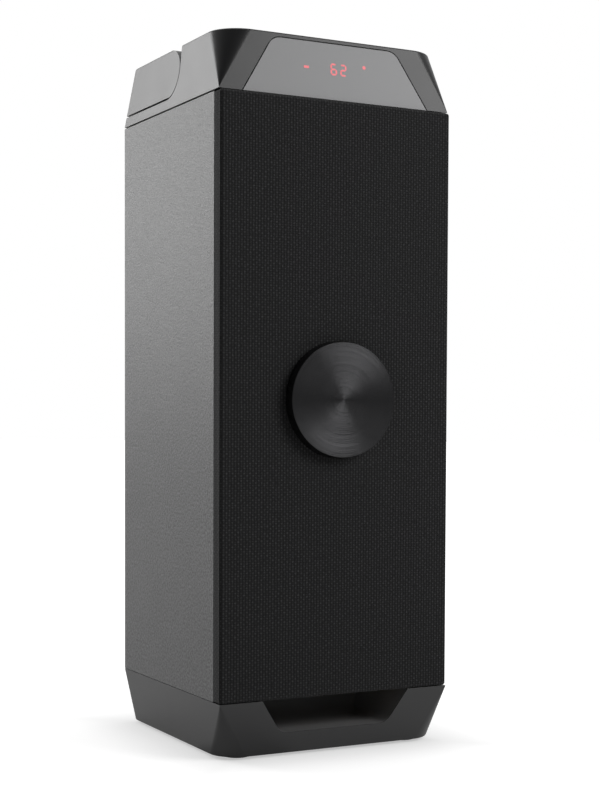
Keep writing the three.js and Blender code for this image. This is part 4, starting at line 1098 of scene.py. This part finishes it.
class SPEAKER_OT_add_deck(bpy.types.Operator):
    """Makes the control panel with its ring of level ticks"""

    bl_idname = "speaker.add_deck"
    bl_label = "Control panel"

    def execute(self, context):
        y, thick = PANEL.y, PANEL.thick
        deck = prism("control_deck", panel_outline(0), "z", -thick, 0)
        tools = [bar("bush_hole", BUSH_HOLE, "z", (0, y), -thick - 1, 1, 40)]
        hole = KEY.radius + KEY.gap
        for key_x, key_y in key_places().values():
            tools.append(bar("key_hole", hole, "z", (key_x, key_y + y), -thick - 1, 1, 48))
        inner, outer, deep = GROOVE.inner, GROOVE.outer, GROOVE.deep
        profile = [(inner, -deep), (outer, -deep), (outer, 1), (inner, 1)]
        cut(deck, *tools, lathe("groove", profile, 96, (0, y, 0)))
        radius, low = PANEL_POST.radius, PANEL_POST.low
        for post_x in (-PANEL_POST.x, PANEL_POST.x):
            for post_y in (y - PANEL_POST.y, y + PANEL_POST.y):
                join(deck, bar("post", radius, "z", (post_x, post_y), low, -thick / 2, 24))
        soften(shifted(deck, y=MIDDLE_Y, z=DECK_MIDDLE[2]), 0.3)
        gloss = moulded_plastic("deck_plastic", (0.02, 0.02, 0.0205), 0.42, 0.0008, 0.00001)
        finished(deck, "cabinet", gloss, ["control_panel"])
        pale = printed_mark("printed_mark", 0.55)
        long, wide = TICKS.half_long, TICKS.half_wide
        tick = block("level_ticks", (-long, -wide, TICKS.low), (long, wide, TICKS.high))
        count, radius = TICKS.count, TICKS.ring * MM
        repeated(tick, ring_layout(), pale, Count=count, Radius=radius)
        shifted(tick, *DECK_MIDDLE)
        finished(tick, "cabinet", pale, smooth=None)
        return {"FINISHED"}


class SPEAKER_OT_add_keys(bpy.types.Operator):
    """Makes the six rubber keys with their symbols"""

    bl_idname = "speaker.add_keys"
    bl_label = "Keys"

    def execute(self, context):
        rubber = soft_rubber("key_rubber", (0.045, 0.045, 0.046), 0.55)
        pale = printed_mark("key_print", 0.6)
        radius, proud, edge = KEY.radius, KEY.proud, KEY.edge
        stem, low, flange = KEY_STEM.radius, KEY_STEM.low, KEY_STEM.flange
        high = -PANEL.thick - CLEARANCE
        under = high - KEY_STEM.flange_thick
        profile = [(AXIS, low), (stem, low), (stem, under), (flange, under), (flange, high)]
        profile += [(radius, high), *arc((radius - edge, proud - edge), edge, 0, 90, 5)]
        profile += [(radius - 2, proud - 0.12), (AXIS, proud - 0.2)]
        marks = key_marks()
        for name, (x, y) in key_places().items():
            place = (x, y + DECK_MIDDLE[1], DECK_MIDDLE[2])
            key = lathe(name + "_key", profile, 56, place)
            finished(key, name + "_key", rubber, [name + "_button"])
            title, levels = name + "_print", (proud - 0.25, proud - 0.06)
            label = merged(title, [prism(title, mark, "z", *levels) for mark in marks[name]])
            shifted(label, *place)
            finished(label, name + "_key", pale, smooth=None)
        return {"FINISHED"}


class SPEAKER_OT_add_knob(bpy.types.Operator):
    """Turns the volume knob and sets its grip ribs"""

    bl_idname = "speaker.add_knob"
    bl_label = "Volume knob"

    def execute(self, context):
        low, high = KNOB.lift, KNOB.lift + KNOB.height
        radius, skirt, bore = KNOB.radius, KNOB.skirt, KNOB.bore
        root = radius - KNOB.rib
        upper, lower = KNOB_ROUND.rim, KNOB_ROUND.foot
        rim = arc((root - upper, high - upper), upper, 0, 90, 6)
        foot = arc((skirt - lower, low + lower), lower, 270, 360, 3)
        profile = [(bore, low), *foot, (skirt, low + 1.5), (radius, low + 3), (root, low + 3.2)]
        profile += [*rim, (root - 2.6, high - 0.35), (bore, high - 0.5)]
        knob = lathe("volume_dial", profile, 120, DECK_MIDDLE)
        x, y, top = DECK_MIDDLE[0], DECK_MIDDLE[1], DECK_MIDDLE[2] + high
        join(knob, bar("lid", KNOB.lid, "z", (x, y), top - 2.6, top - 0.45, 40))
        half, gap, deep = POINTER.half, POINTER.gap, POINTER.deep
        near, far = y + POINTER.near, y + POINTER.far
        cut(knob, block("pointer", (-half, near, top - deep), (half, far, top + 1)))
        centre = tuple(v * MM for v in DECK_MIDDLE)
        tone = shade(colour("disc"), 1.6)
        metal = spun_metal("knob_metal", tone, centre, (0, 0, 0), 0.3, 0.00004)
        finished(knob, "volume", metal, ["volume_knob"], smooth=24)
        rib = prism("knob_ribs", arc((-0.35, 0), 1.05, -38, 38, 4), "z", low + 2.6, high - 1.2)
        count = context.scene.speaker_sizes.knob_ribs
        repeated(rib, ring_layout(), metal, Count=count, Radius=root * MM)
        shifted(rib, *DECK_MIDDLE)
        finished(rib, "volume", metal, smooth=24)
        ends = ((gap - half, near + gap, top - deep - gap), (half - gap, far - gap, top - 0.6))
        pale = printed_mark("pointer_paint", 0.75)
        finished(block("pointer_inlay", *ends), "volume", pale, smooth=None)
        return {"FINISHED"}


# Rear fittings


def upright(name, place, half, start, end):
    """A block along y about a place in (x, z)."""
    (x, z), (half_x, half_z) = place, half
    return block(name, (x - half_x, start, z - half_z), (x + half_x, end, z + half_z))


def screw(name):
    """A low pan-head screw with a cross recess, on the z axis with its seat at 0."""
    profile = [(AXIS, -0.3), (3.2, -0.3), (3.4, 0.3), (3.0, 0.8), (1.9, 1.1), (AXIS, 1.2)]
    long, slim, floor = 1.9, 0.35, 0.4
    across = block("across", (-long, -slim, floor), (long, slim, 3))
    along = block("along", (-slim, -long, floor), (slim, long, 3))
    return cut(lathe(name, profile, 18, (0, 0, 0)), across, along)


def screws(name, material, z, y, width, height, across, up):
    """Screws on a grid in the cabinet's back, whose seats are at y."""
    grid = {"Width": width * MM, "Height": height * MM, "Across": across, "Up": up}
    piece = repeated(screw(name), grid_layout(), material, **grid)
    finished(turned(piece, -90, "X", y=y, z=z), "cabinet", material)


class SPEAKER_OT_add_rear(bpy.types.Operator):
    """Makes the rear board, the input panel and their screws"""

    bl_idname = "speaker.add_rear"
    bl_label = "Rear board and input panel"

    def execute(self, context):
        z, face, end = REAR.z, REAR_FACE, THROUGH[1]

        def panel(name, draw, start, finish):
            half = (REAR.width / 2 - draw, REAR.height / 2 - draw)
            return prism(name, soft_rectangle((0, z), half, REAR.corner), "y", start, finish)

        low, high = (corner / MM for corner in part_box("rear_panel"))
        board = cut(block("rear_board", low, high), panel("opening", REAR.lap, *THROUGH))
        soften(board, size("board_round"), 3)
        finished(board, "cabinet", wrapped_vinyl("vinyl_rear"), ["rear_panel"])
        plate = panel("input_plate", 0, REAR_Y + CLEARANCE, face)
        plug_draw = REAR.lap + CLEARANCE
        join(plate, panel("plug", plug_draw, REAR_Y - REAR.rim, face - 0.5))
        for x in (-REAR_POST.x, REAR_POST.x):
            for up in REAR_POST.z:
                ends = (REAR_POST.start, REAR_Y - 3)
                join(plate, bar("post", REAR_POST.radius, "y", (x, z + up), *ends, 24))
        field = soft_rectangle((0, z + FIELD.z), FIELD.half, FIELD.corner)
        tools = [prism("field", field, "y", face - FIELD.deep, face + 2)]
        for place in JACKS.values():
            tools.append(bar("jack_hole", JACK.nose + CLEARANCE, "y", place, *THROUGH, 48))
            tools.append(bar("jack_seat", JACK.seat, "y", place, face - JACK.sunk, end, 56))
        for fit in (INLET, SWITCH):
            half = [h + CLEARANCE for h in fit.half]
            tools.append(prism("hole", soft_rectangle(fit.place, half, 0.6, 2), "y", *THROUGH))
        half_x, half_z = PANEL_SCREWS["width"] / 2, PANEL_SCREWS["height"] / 2
        sunk = face - SCREW_SEAT.deep
        for x in (-half_x, half_x):
            for up in (-half_z, 0, half_z):
                seat = bar("screw_seat", SCREW_SEAT.radius, "y", (x, z + up), sunk, end, 28)
                tools.append(seat)
        soften(cut(plate, *tools), 0.4)
        black = moulded_plastic("rear_plastic", (0.022, 0.022, 0.0225), 0.42, 0.0008, 0.00004)
        finished(plate, "cabinet", black, ["input_panel"])
        half, proud = RIBS.half, RIBS.proud
        rib = block("cooling_ribs", (-half, RIBS.low, 0), (half, RIBS.high, proud))
        row = {"Width": RIBS.width * MM, "Height": 0.0, "Across": RIBS.count, "Up": 1}
        repeated(soften(rib, 0.4, 1), grid_layout(), black, **row)
        turned(rib, 90, "X", y=face - 0.1, z=z)
        finished(rib, "cabinet", black, smooth=None)
        steel = plain_metal("screw_steel", (0.035, 0.035, 0.036), 0.35, 0.9)
        screws("panel_screws", steel, z, sunk, **PANEL_SCREWS)
        screws("board_screws", steel, MIDDLE_Z, REAR_Y, **BOARD_SCREWS)
        return {"FINISHED"}


class SPEAKER_OT_add_sockets(bpy.types.Operator):
    """Makes the microphone sockets, the mains inlet and the switch"""

    bl_idname = "speaker.add_sockets"
    bl_label = "Sockets and switch"

    def execute(self, context):
        black = moulded_plastic("socket_plastic", (0.014, 0.014, 0.0145), 0.35)
        plated = plain_metal("nickel", (0.62, 0.61, 0.59), 0.24)
        for side, place in JACKS.items():
            self.add_jack(side, place, black, plated)
        self.add_inlet(black, plated)
        self.add_switch(black)
        return {"FINISHED"}

    def add_jack(self, side, place, black, plated):
        face, half = REAR_FACE, JACK.body
        back, shoulder, end = (face - depth for depth in JACK_DEPTHS.values())
        body = upright(f"{side}_jack_body", place, (half, half), back, shoulder)
        nose = bar("nose", JACK.nose, "y", place, face - 10, face - 1.3, 56)
        bore = bar("bore", JACK.bore, "y", place, end, face + 2, 40)
        socket = soften(cut(join(body, nose), bore), 0.3)
        finished(socket, "cabinet", black, [f"microphone_jack_{side}"])
        outline = circle(place, JACK.nut, 6)
        nut = prism(f"{side}_jack_nut", outline, "y", face - JACK.sunk, face - 0.05)
        funnel = [(AXIS, -4), (3.6, -4), (3.6, -0.9), (4.6, 0.5), (AXIS, 0.5)]
        cut(nut, lathe("nut_bore", funnel, 48, (place[0], face, place[1]), "y"))
        finished(soften(nut, 0.25, 1), "cabinet", plated)

    def add_inlet(self, black, plated):
        (x, z), face = INLET.place, REAR_FACE
        shell = upright("inlet_shell", (x, z), INLET.half, face - INLET.deep, face)
        half, floor = INLET_MOUTH.half, face - INLET_MOUTH.deep
        mouth = prism("mouth", soft_rectangle((x, z), half, half[1]), "y", floor, face + 1)
        soften(cut(shell, mouth), 0.4)
        finished(shell, "cabinet", black, ["power_inlet"])
        profile = [(AXIS, -15.2), (1.2, -15.2), (1.2, -6.8), (0.8, -6.1), (AXIS, -6)]
        places = [(x + way * INLET_MOUTH.pin_x, face, z) for way in (-1, 1)]
        pins = [lathe("inlet_pins", profile, 24, place, "y") for place in places]
        finished(merged("inlet_pins", pins), "cabinet", plated)

    def add_switch(self, black):
        (x, z), axle_y = SWITCH.place, REAR_FACE - ROCKER.sunk
        housing = upright("switch_frame", (x, z), SWITCH.half, REAR_FACE - 20, REAR_FACE)
        well = upright("well", (x, z), SWITCH.well, REAR_FACE - 12, REAR_FACE + 1)
        pin = bar("pin", 2, "z", (x, axle_y), z - 8.8, z + 8.8, 24)
        soften(cut(housing, well, pin), 0.5)
        finished(housing, "cabinet", black, ["rocker_housing"])
        reach, end, rise, hollow = ROCKER_FACE.values()
        steps = [k / 8 for k in range(9)]
        face = [(-reach * (1 - t), end + rise * t - hollow * t * (1 - t)) for t in steps]
        half, low, wide = ROCKER.half, ROCKER.low, ROCKER.wide
        outline = [(-half, low), (half, low), *[(-a, b) for a, b in face], *reversed(face[:-1])]
        rocker = soften(prism("switch_rocker", outline, "z", -wide, wide), 0.4)
        join(rocker, bar("axle", ROCKER.axle, "z", (0, 0), -wide - 2, wide + 2, 24))
        on = block("on", (-5.6, 0, -2), (-4.9, 6, 2))
        off = prism("off", circle((5.2, 0), 2.1, 28), "y", 0, 6)
        cut(off, prism("off_inside", circle((5.2, 0), 1.5, 28), "y", -1, 7))
        marks = join(on, off)
        marks.name = "switch_marks"
        common(marks, shifted(copied(rocker, "above"), y=0.08))
        cut(marks, shifted(copied(rocker, "under"), y=-0.3))
        for piece in (rocker, marks):
            turned(piece, SWITCH.tilt, "Z", x, axle_y, z)
        rubber = soft_rubber("switch_rubber", (0.02, 0.02, 0.02), 0.45)
        finished(rocker, "rocker", rubber, ["power_rocker"])
        pale = printed_mark("switch_print", 0.75)
        finished(marks, "rocker", pale, smooth=None)


# Base


def port_space(name, grow):
    """The slot in the base's front, whose floor sweeps up at the back."""
    top = BASE.height
    low = top - PORT.depth - grow
    back = -HALF + PORT.reach + grow
    wide, narrow, corner = PORT.top + grow, PORT.bottom + grow, PORT.corner
    corners = [(-wide, top, 0), (-narrow, low, corner), (narrow, low, corner), (wide, top, 0)]
    slot = prism(name, soft_outline(corners, 10), "y", -REACH, back + 2)
    join(slot, block("above", (-wide, -REACH, top - 0.3), (wide, back, top + 2)))
    radius = PORT.back_radius
    bend = arc((back - radius, low + radius), radius, 270, 360, 20)
    sweep = [(-REACH, low), *bend, (back, top + 2), (-REACH, top + 2)]
    return common(slot, prism("sweep", sweep, "x", -wide - 2, wide + 2))


def foot_places():
    inset = FOOT.inset
    return {
        f"{end}_{side}": (x * (HALF - inset), y * (HALF - inset))
        for end, y in (("front", -1), ("rear", 1))
        for side, x in (("left", -1), ("right", 1))
    }


def base_body():
    height, wall, radius = BASE.height, BASE.wall, FOOT.radius
    base = tapered_block("base_moulding", BASE_WIDE, BASE_NARROW, (height, 0), BASE.edge)
    inside = [drawn_in(BASE_WIDE, wall), drawn_in(BASE_NARROW, wall)]
    hollow = tapered_block("hollow", *inside, (height - wall, -2), BASE.edge, 12, 1)
    kept = common(port_space("kept", wall), copied(base, "outside"))
    bosses = []
    seats = []
    for place in foot_places().values():
        boss = radius + FOOT.boss_wall
        bosses.append(bar("boss", boss, "z", place, 0, height - wall, 40))
        seats.append(bar("seat", radius + CLEARANCE, "z", place, -2, FOOT.seat, 40))
    cut(hollow, kept, *bosses)
    cut(base, hollow)
    join(base, spigot("base_spigot", -HALF, height - wall, height))
    return cut(base, port_space("slot", 0), *seats)


class SPEAKER_OT_add_base(bpy.types.Operator):
    """Makes the base moulding with its port slot, and the rubber feet"""

    bl_idname = "speaker.add_base"
    bl_label = "Base and feet"

    def execute(self, context):
        # The port slot's pale grey is painted light inside the slot, not the moulding's own colour.
        slot_painted_light = (0.19, 0.19, 0.192)
        plastic = moulded_plastic("base_plastic", colour("base"), 0.36, ior=1.6, slot_painted_light=slot_painted_light)
        base = soften(shifted(base_body(), y=MIDDLE_Y, z=BASE_Z), size("moulding_round"))
        finished(base, "cabinet", plastic, ["base_shell"])
        rubber = soft_rubber("rubber_black", (0.02, 0.02, 0.02))
        radius, edge, height = FOOT.radius, FOOT.edge, FOOT.height
        sole = arc((radius - edge, edge), edge, 270, 360, 4)
        groove = [(4, 0), (4.4, 0.6), (6.6, 0.6), (7, 0)]
        profile = [(AXIS, 0), *groove, *sole, (radius, height), (AXIS, height)]
        for name, (x, y) in foot_places().items():
            foot = lathe("rubber_foot_" + name, profile, 40, (x, y + MIDDLE_Y, 0))
            finished(foot, "cabinet", rubber, ["foot_" + name])
        return {"FINISHED"}


# Cloth and disc


def cloth_wrap(thick, bend):
    """The stretched cloth: a front and four turned sides, with soft bends, as one open sheet."""
    half_x, half_z = HALF - thick, CABINET_H / 2 - thick
    steps = 6
    levels = [(BAFFLE_Y - CLOTH.short, 0)]
    for k in range(steps + 1):
        angle = math.pi / 2 * k / steps
        inset = bend * (1 - math.cos(angle))
        levels.append((CLOTH_FRONT + thick + bend * (1 - math.sin(angle)), inset))
    points = []
    for y, inset in levels:
        radius = max(bend - inset, 0.05)
        x, z = half_x - inset - radius, half_z - inset - radius
        for sx, sz, start in ((1, 1, 0), (-1, 1, 90), (-1, -1, 180), (1, -1, 270)):
            turn = arc((sx * x, sz * z), radius, start, start + 90, steps)
            points += [(a, y, b + MIDDLE_Z) for a, b in turn]
    count = 4 * (steps + 1)
    rows = [k * count for k in range(len(levels))]
    faces = [f for near, far in zip(rows, rows[1:]) for f in band(near, far, count)]
    faces.append(tuple(rows[-1] + i for i in range(count)))
    return mesh_object("cloth_wrap", points, faces)


def knit_map(piece):
    """Lays the cloth's pattern out flat, in metres; the turned sides carry it on."""
    mesh = piece.data
    layer = mesh.uv_layers.new(name="knit")
    for face in mesh.polygons:
        normal = face.normal
        for loop in face.loop_indices:
            point = mesh.vertices[mesh.loops[loop].vertex_index].co
            u, v = point.x, point.z
            deep = point.y - CLOTH_FRONT * MM
            if abs(normal.x) > max(abs(normal.y), abs(normal.z)):
                u += math.copysign(deep, normal.x)
            elif abs(normal.z) > abs(normal.y):
                v += math.copysign(deep, normal.z)
            layer.data[loop].uv = (u, v)


class SPEAKER_OT_add_cloth(bpy.types.Operator):
    """Stretches the knitted cloth over its frame"""

    bl_idname = "speaker.add_cloth"
    bl_label = "Cloth front"

    def execute(self, context):
        thick = CLOTH.thick
        cloth = outward(cloth_wrap(thick, size("cloth_round")))
        shell = cloth.modifiers.new("thickness", "SOLIDIFY")
        shell.thickness = thick * MM
        shell.offset = 1
        shell.use_even_offset = True
        applied(cloth)
        front = CLOTH_FRONT
        cut(cloth, bar("boss_hole", DISC_SOCKET, "y", (0, MIDDLE_Z), front - 2, front + 8, 64))
        knit_map(cloth)
        loops = context.scene.speaker_sizes
        shades = (colour("cloth"), loops.knit_width, loops.knit_height)
        material = knitted_cloth("grille_cloth", *shades)
        finished(cloth, "cabinet", material, ["grille_cloth"], smooth=35)
        return {"FINISHED"}


class SPEAKER_OT_add_disc(bpy.types.Operator):
    """Turns the disc at the middle of the cloth"""

    bl_idname = "speaker.add_disc"
    bl_label = "Centre disc"

    def execute(self, context):
        radius, front = DISC.radius, DISC.proud
        floor = front - DISC.face - DISC.rise + CLEARANCE
        deep = front - DISC.face - DISC.dish
        socket, sleeve = DISC_SOCKET, DISC_SOCKET + DISC.wall
        inner, flat = radius - DISC.wall, radius - DISC.taper
        profile = [
            (AXIS, floor),
            (socket, floor),
            (socket, CLEARANCE),
            (sleeve, CLEARANCE),
            (sleeve, deep),
            (inner - 1, deep),
            (inner - 1, 4),
            (inner, 2),
            (inner, CLEARANCE),
            (radius, CLEARANCE),
            (radius, front * 0.55),
            (flat + 0.25, front - 0.45),
            (flat, front - 0.1),
            (flat - 0.35, front),
            (AXIS, front - DISC.dish),
        ]
        disc = lathe("spun_disc", profile, 180, (0, CLOTH_FRONT, MIDDLE_Z), "-y")
        centre, turn = (0, 0, MIDDLE_Z * MM), (math.pi / 2, 0, 0)
        metal = spun_metal("spun_disc_metal", colour("disc"), centre, turn, 0.22, 0.00012)
        finished(disc, "cabinet", metal, ["centre_disc"], smooth=20)
        return {"FINISHED"}


# Display


def segment_bars(x, lit):
    """The lit bars of one seven-segment digit with its middle at x, as outlines in (x, z)."""
    z, gap, thick = DIGIT.z, DIGIT.gap, DIGIT.thick / 2
    left, right = x - DIGIT.width / 2, x + DIGIT.width / 2
    low, high = z - DIGIT.height / 2, z + DIGIT.height / 2
    ends = {
        "top": ((left, high), (right, high)),
        "upper_left": ((left, high), (left, z)),
        "upper_right": ((right, high), (right, z)),
        "middle": ((left, z), (right, z)),
        "lower_left": ((left, z), (left, low)),
        "lower_right": ((right, z), (right, low)),
        "bottom": ((left, low), (right, low)),
    }
    bars = []
    for name in lit:
        start, end = (Vector(p) for p in ends[name])
        along = (end - start).normalized()
        side = Vector((-along.y, along.x)) * thick
        a, b = start + along * gap, end - along * gap
        near, far = a + along * thick, b - along * thick
        bars.append([a, near + side, far + side, b, far - side, near - side])
    return bars


class SPEAKER_OT_add_display(bpy.types.Operator):
    """Makes the display window and the marks that are lit in it"""

    bl_idname = "speaker.add_display"
    bl_label = "Display window"

    def execute(self, context):
        window = leant(prism("window_plate", window_outline(0, 0), "y", 0, WINDOW.thick))
        soften(shifted(window, y=MIDDLE_Y, z=CAP_Z), 0.25)
        # The window's tone is partly painted reflection.
        material = smoked_window("smoked_window", colour("window"))
        finished(window, "cabinet", material, ["display_window"])
        outlines = [outline for x, lit in DIGITS.items() for outline in segment_bars(x, lit)]
        outlines += [rectangle(*DASH), circle(DOT.place, DOT.radius, 24)]
        parts = [prism("mark", [(*p,) for p in outline], "y", -0.06, 0.3) for outline in outlines]
        marks = shifted(leant(merged("lit_marks", parts)), y=MIDDLE_Y, z=CAP_Z)
        glow = lit_mark("lit_marks", colour("marks"))
        finished(marks, "cabinet", glow)
        return {"FINISHED"}


# Boards


class SPEAKER_OT_add_boards(bpy.types.Operator):
    """Makes the vinyl-wrapped side boards"""

    bl_idname = "speaker.add_boards"
    bl_label = "Cabinet boards"

    def execute(self, context):
        vinyl = wrapped_vinyl("vinyl_board")
        for side in ("left", "right"):
            low, high = (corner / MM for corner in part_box(f"{side}_side_panel"))
            board = soften(block(f"{side}_board", low, high), size("board_round"), 3)
            finished(board, "cabinet", vinyl, [f"{side}_side_panel"])
        return {"FINISHED"}


class SPEAKER_OT_add_surrounds(bpy.types.Operator):
    """Makes the bass surrounds: a lip that goes with its cone and a roll that stays"""

    bl_idname = "speaker.add_surrounds"
    bl_label = "Surrounds"

    def execute(self, context):
        rubber = soft_rubber("surround_rubber", (0.018, 0.018, 0.018))
        inner, outer, land = ROLL.inner, ROLL.outer, ROLL.land
        low, thick, rise = ROLL.seat, ROLL.thick, ROLL.rise
        high, start = low + thick, inner + ROLL.parting
        middle, over, under = (inner + outer) / 2, (outer - inner) / 2, (outer - inner) / 2 - thick
        turns = [math.pi * k / 12 for k in range(13)]
        roll = [(start, low), (start, high)]
        roll += [(middle - over * math.cos(t), high + rise * math.sin(t)) for t in turns[1:]]
        roll += [(outer + land, high), (outer + land, low)]
        roll += [(middle + under * math.cos(t), low + (rise - thick) * math.sin(t)) for t in turns]
        lip = rectangle((inner - land, low), (inner, high))
        for name in ("upper", "lower"):
            node = name + "_woofer_surround"
            near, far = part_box(node)
            centre = (near + far) / 2 / MM
            place = (centre.x, BAFFLE_Y, centre.z)
            still = lathe(name + "_roll", roll, 72, place, "-y")
            finished(still, "cabinet", rubber, [node])
            moving = lathe(name + "_lip", lip, 72, place, "-y")
            finished(moving, name + "_cone", rubber)
        return {"FINISHED"}


class SPEAKER_OT_finish_inside(bpy.types.Operator):
    """Gives the CAD pieces that stay their finishes"""

    bl_idname = "speaker.finish_inside"
    bl_label = "Inner pieces"

    def execute(self, context):
        board = fibreboard("fibreboard", (0.28, 0.19, 0.11))
        dress(board, "top_board", "bottom_board", "front_baffle")
        black = moulded_plastic("frame_plastic", (0.022, 0.022, 0.023), 0.5)
        dress(black, "port_duct", "grille_frame", "tweeter_horn", "battery")
        plated = plain_metal("steel_plated", (0.5, 0.5, 0.51), 0.3)
        dress(plated, "pivot_pin_left", "pivot_pin_right", "volume_encoder", "encoder_shaft")
        circuit = circuit_board("circuit_board", (0.03, 0.16, 0.07))
        dress(circuit, "display_board", "control_board", "amplifier_board", "power_supply")
        dress(plain_metal("sink_aluminium", (0.6, 0.61, 0.62), 0.4), "heat_sink")
        dress(soft_rubber("silk", (0.02, 0.02, 0.021), 0.6), "tweeter_dome")
        parts = {
            "basket": plain_metal("steel_painted", (0.03, 0.03, 0.03), 0.45, 0.3),
            "cone": soft_rubber("paper_cone", (0.022, 0.022, 0.023), 0.9),
            "dust_cap": soft_rubber("dust_cap_paper", (0.022, 0.022, 0.023), 0.75),
            "spider": soft_rubber("spider_cloth", (0.10, 0.07, 0.035), 0.9),
            "voice_coil": plain_metal("copper_wire", (0.6, 0.26, 0.1), 0.35, 1.0, 0.0004),
            "magnet": soft_rubber("ferrite", (0.05, 0.05, 0.053), 0.6),
            "yoke": plated,
        }
        for part, material in parts.items():
            dress(material, f"upper_woofer_{part}", f"lower_woofer_{part}")
        return {"FINISHED"}


# Stage


def camera_axes(yaw, pitch, roll):
    """The camera's right, up and backward directions, as the columns of a matrix."""
    yaw, pitch, roll = (math.radians(a) for a in (yaw, pitch, roll))
    level = math.cos(pitch)
    forward = Vector((math.sin(yaw) * level, math.cos(yaw) * level, math.sin(pitch)))
    right = Vector((math.cos(yaw), -math.sin(yaw), 0))
    up = right.cross(forward)
    turned_right = right * math.cos(roll) + up * math.sin(roll)
    turned_up = up * math.cos(roll) - right * math.sin(roll)
    return Matrix([turned_right, turned_up, -forward]).transposed()


def add_camera():
    data = bpy.data.cameras.new("camera")
    data.lens = CAMERA.lens
    data.sensor_width = 36
    data.shift_x, data.shift_y = CAMERA.shift
    data.clip_start = 0.05
    camera = added("camera", data)
    turn = camera_axes(*CAMERA.turn).to_4x4()
    camera.matrix_world = Matrix.Translation(CAMERA.place) @ turn
    bpy.context.scene.camera = camera


def add_softbox(name, place, size, radiance):
    """A soft lamp at place, turned to the stage's middle, that looks radiance bright."""
    data = bpy.data.lights.new(name, "AREA")
    data.shape = "RECTANGLE"
    data.size, data.size_y = size
    data.energy = radiance * math.pi * size[0] * size[1]
    lamp = added(name, data)
    lamp.location = place
    aim = Vector(STAGE_MIDDLE) - Vector(place)
    lamp.rotation_euler = aim.to_track_quat("-Z", "Y").to_euler()


def rays(sheet, *kinds):
    """A signal for each kind of ray, which is 1 where such a ray looks."""
    path = sheet.node("ShaderNodeLightPath")
    return [Signal(sheet, path.outputs[f"Is {kind} Ray"]) for kind in kinds]


def studio_world():
    """White where the camera looks, else a studio: bright behind, dim at the left front."""
    world = bpy.data.worlds.new("studio")
    world.use_nodes = True
    bpy.context.scene.world = world
    sheet = NodeSheet(world.node_tree)
    x, y, z = sheet.axes(sheet.node("ShaderNodeTexCoord").outputs["Generated"])
    behind = (y * 0.95 + x * 0.1 + z * 0.25).ramped(-0.35, 0.9)
    right_front = (x * 0.8 - y * 0.6).ramped(-0.1, 0.9)
    level = behind * 0.69 + right_front * 0.13 + 0.025
    seen, clear = rays(sheet, "Camera", "Transmission")
    strength = level + (seen + clear).limited() * (1 - level)
    values = {"Color": (1, 1, 1, 1), "Strength": strength}
    background = sheet.node("ShaderNodeBackground", None, values)
    sheet.node("ShaderNodeOutputWorld", None, {"Surface": background.outputs[0]})


def floor_material():
    """A pale floor that the camera sees as white, with the object's shadow kept and a painted
    shadow where its glow dims round the footprint.
    """
    paint = Paint("floor_paint")
    place = paint.place()
    tone = paint.tinted(paint.noise(place, 0.004, 2), (1, 1, 1), 0.6, 0.64)
    matt = paint.node("ShaderNodeBsdfDiffuse", None, {"Color": tone})
    x, y, _ = paint.axes(place)
    square = x * x + y * y
    away = (square**0.5).ramped(0.5, 2.2)
    # outside is 0 over and just round the footprint, so the glow dims there: a painted shadow.
    outside = (x.absolute() - 0.12).maximum(y.absolute() - 0.118).ramped(-0.03, 0.09)
    left_front = (x + y) * -0.707 / (square + 0.0001) ** 0.5
    seen, mirrored, clear = rays(paint, "Camera", "Glossy", "Transmission")
    mirrored = mirrored * (1 - left_front.ramped(0.84, 0.96)) * 0.34
    strength = (seen + mirrored + clear).limited() * (away * 0.35 + outside * 0.25 + 0.45)
    glow = paint.node("ShaderNodeEmission", None, {"Color": (1, 1, 1, 1), "Strength": strength})
    both = paint.node("ShaderNodeAddShader", None, {0: matt.outputs[0], 1: glow.outputs[0]})
    paint.node("ShaderNodeOutputMaterial", None, {"Surface": both.outputs[0]})
    return paint.material


class SPEAKER_OT_set_stage(bpy.types.Operator):
    """Sets the floor, the lamps, the studio round them and the camera"""

    bl_idname = "speaker.set_stage"
    bl_label = "Stage"

    def execute(self, context):
        context.scene.view_settings.view_transform = "Standard"
        add_camera()
        studio_world()
        rim = [(x, y, 0) for x, y in circle((0, 0), FLOOR.radius, FLOOR.sides)]
        floor = mesh_object("floor", rim, [tuple(range(FLOOR.sides))])
        floor.data.materials.append(floor_material())
        for name, lamp in LAMPS.items():
            add_softbox(name, **lamp)
        return {"FINISHED"}


PIECE_OPERATORS = (
    SPEAKER_OT_set_stage,
    SPEAKER_OT_add_cap,
    SPEAKER_OT_add_base,
    SPEAKER_OT_add_cloth,
    SPEAKER_OT_add_disc,
    SPEAKER_OT_add_display,
    SPEAKER_OT_add_boards,
    SPEAKER_OT_add_deck,
    SPEAKER_OT_add_keys,
    SPEAKER_OT_add_knob,
    SPEAKER_OT_add_rear,
    SPEAKER_OT_add_sockets,
    SPEAKER_OT_add_surrounds,
    SPEAKER_OT_finish_inside,
)


class SPEAKER_PT_pieces(bpy.types.Panel):
    """Lists the speaker's pieces in the sidebar"""

    bl_idname = "SPEAKER_PT_pieces"
    bl_label = "Speaker pieces"
    bl_space_type = "VIEW_3D"
    bl_region_type = "UI"
    bl_category = "Speaker"

    def draw(self, context):
        for operator in PIECE_OPERATORS:
            self.layout.operator(operator.bl_idname)


CLASSES = (SpeakerSizes, SpeakerColours, *PIECE_OPERATORS, SPEAKER_PT_pieces)


def register():
    for item in CLASSES:
        bpy.utils.register_class(item)
    bpy.types.Scene.speaker_sizes = PointerProperty(type=SpeakerSizes)
    bpy.types.Scene.speaker_colours = PointerProperty(type=SpeakerColours)


def unregister():
    del bpy.types.Scene.speaker_colours
    del bpy.types.Scene.speaker_sizes
    for item in reversed(CLASSES):
        bpy.utils.unregister_class(item)


def main():
    register()
    for operator in PIECE_OPERATORS:
        group, name = operator.bl_idname.split(".")
        getattr(getattr(bpy.ops, group), name)()


if __name__ == "__main__":
    main()
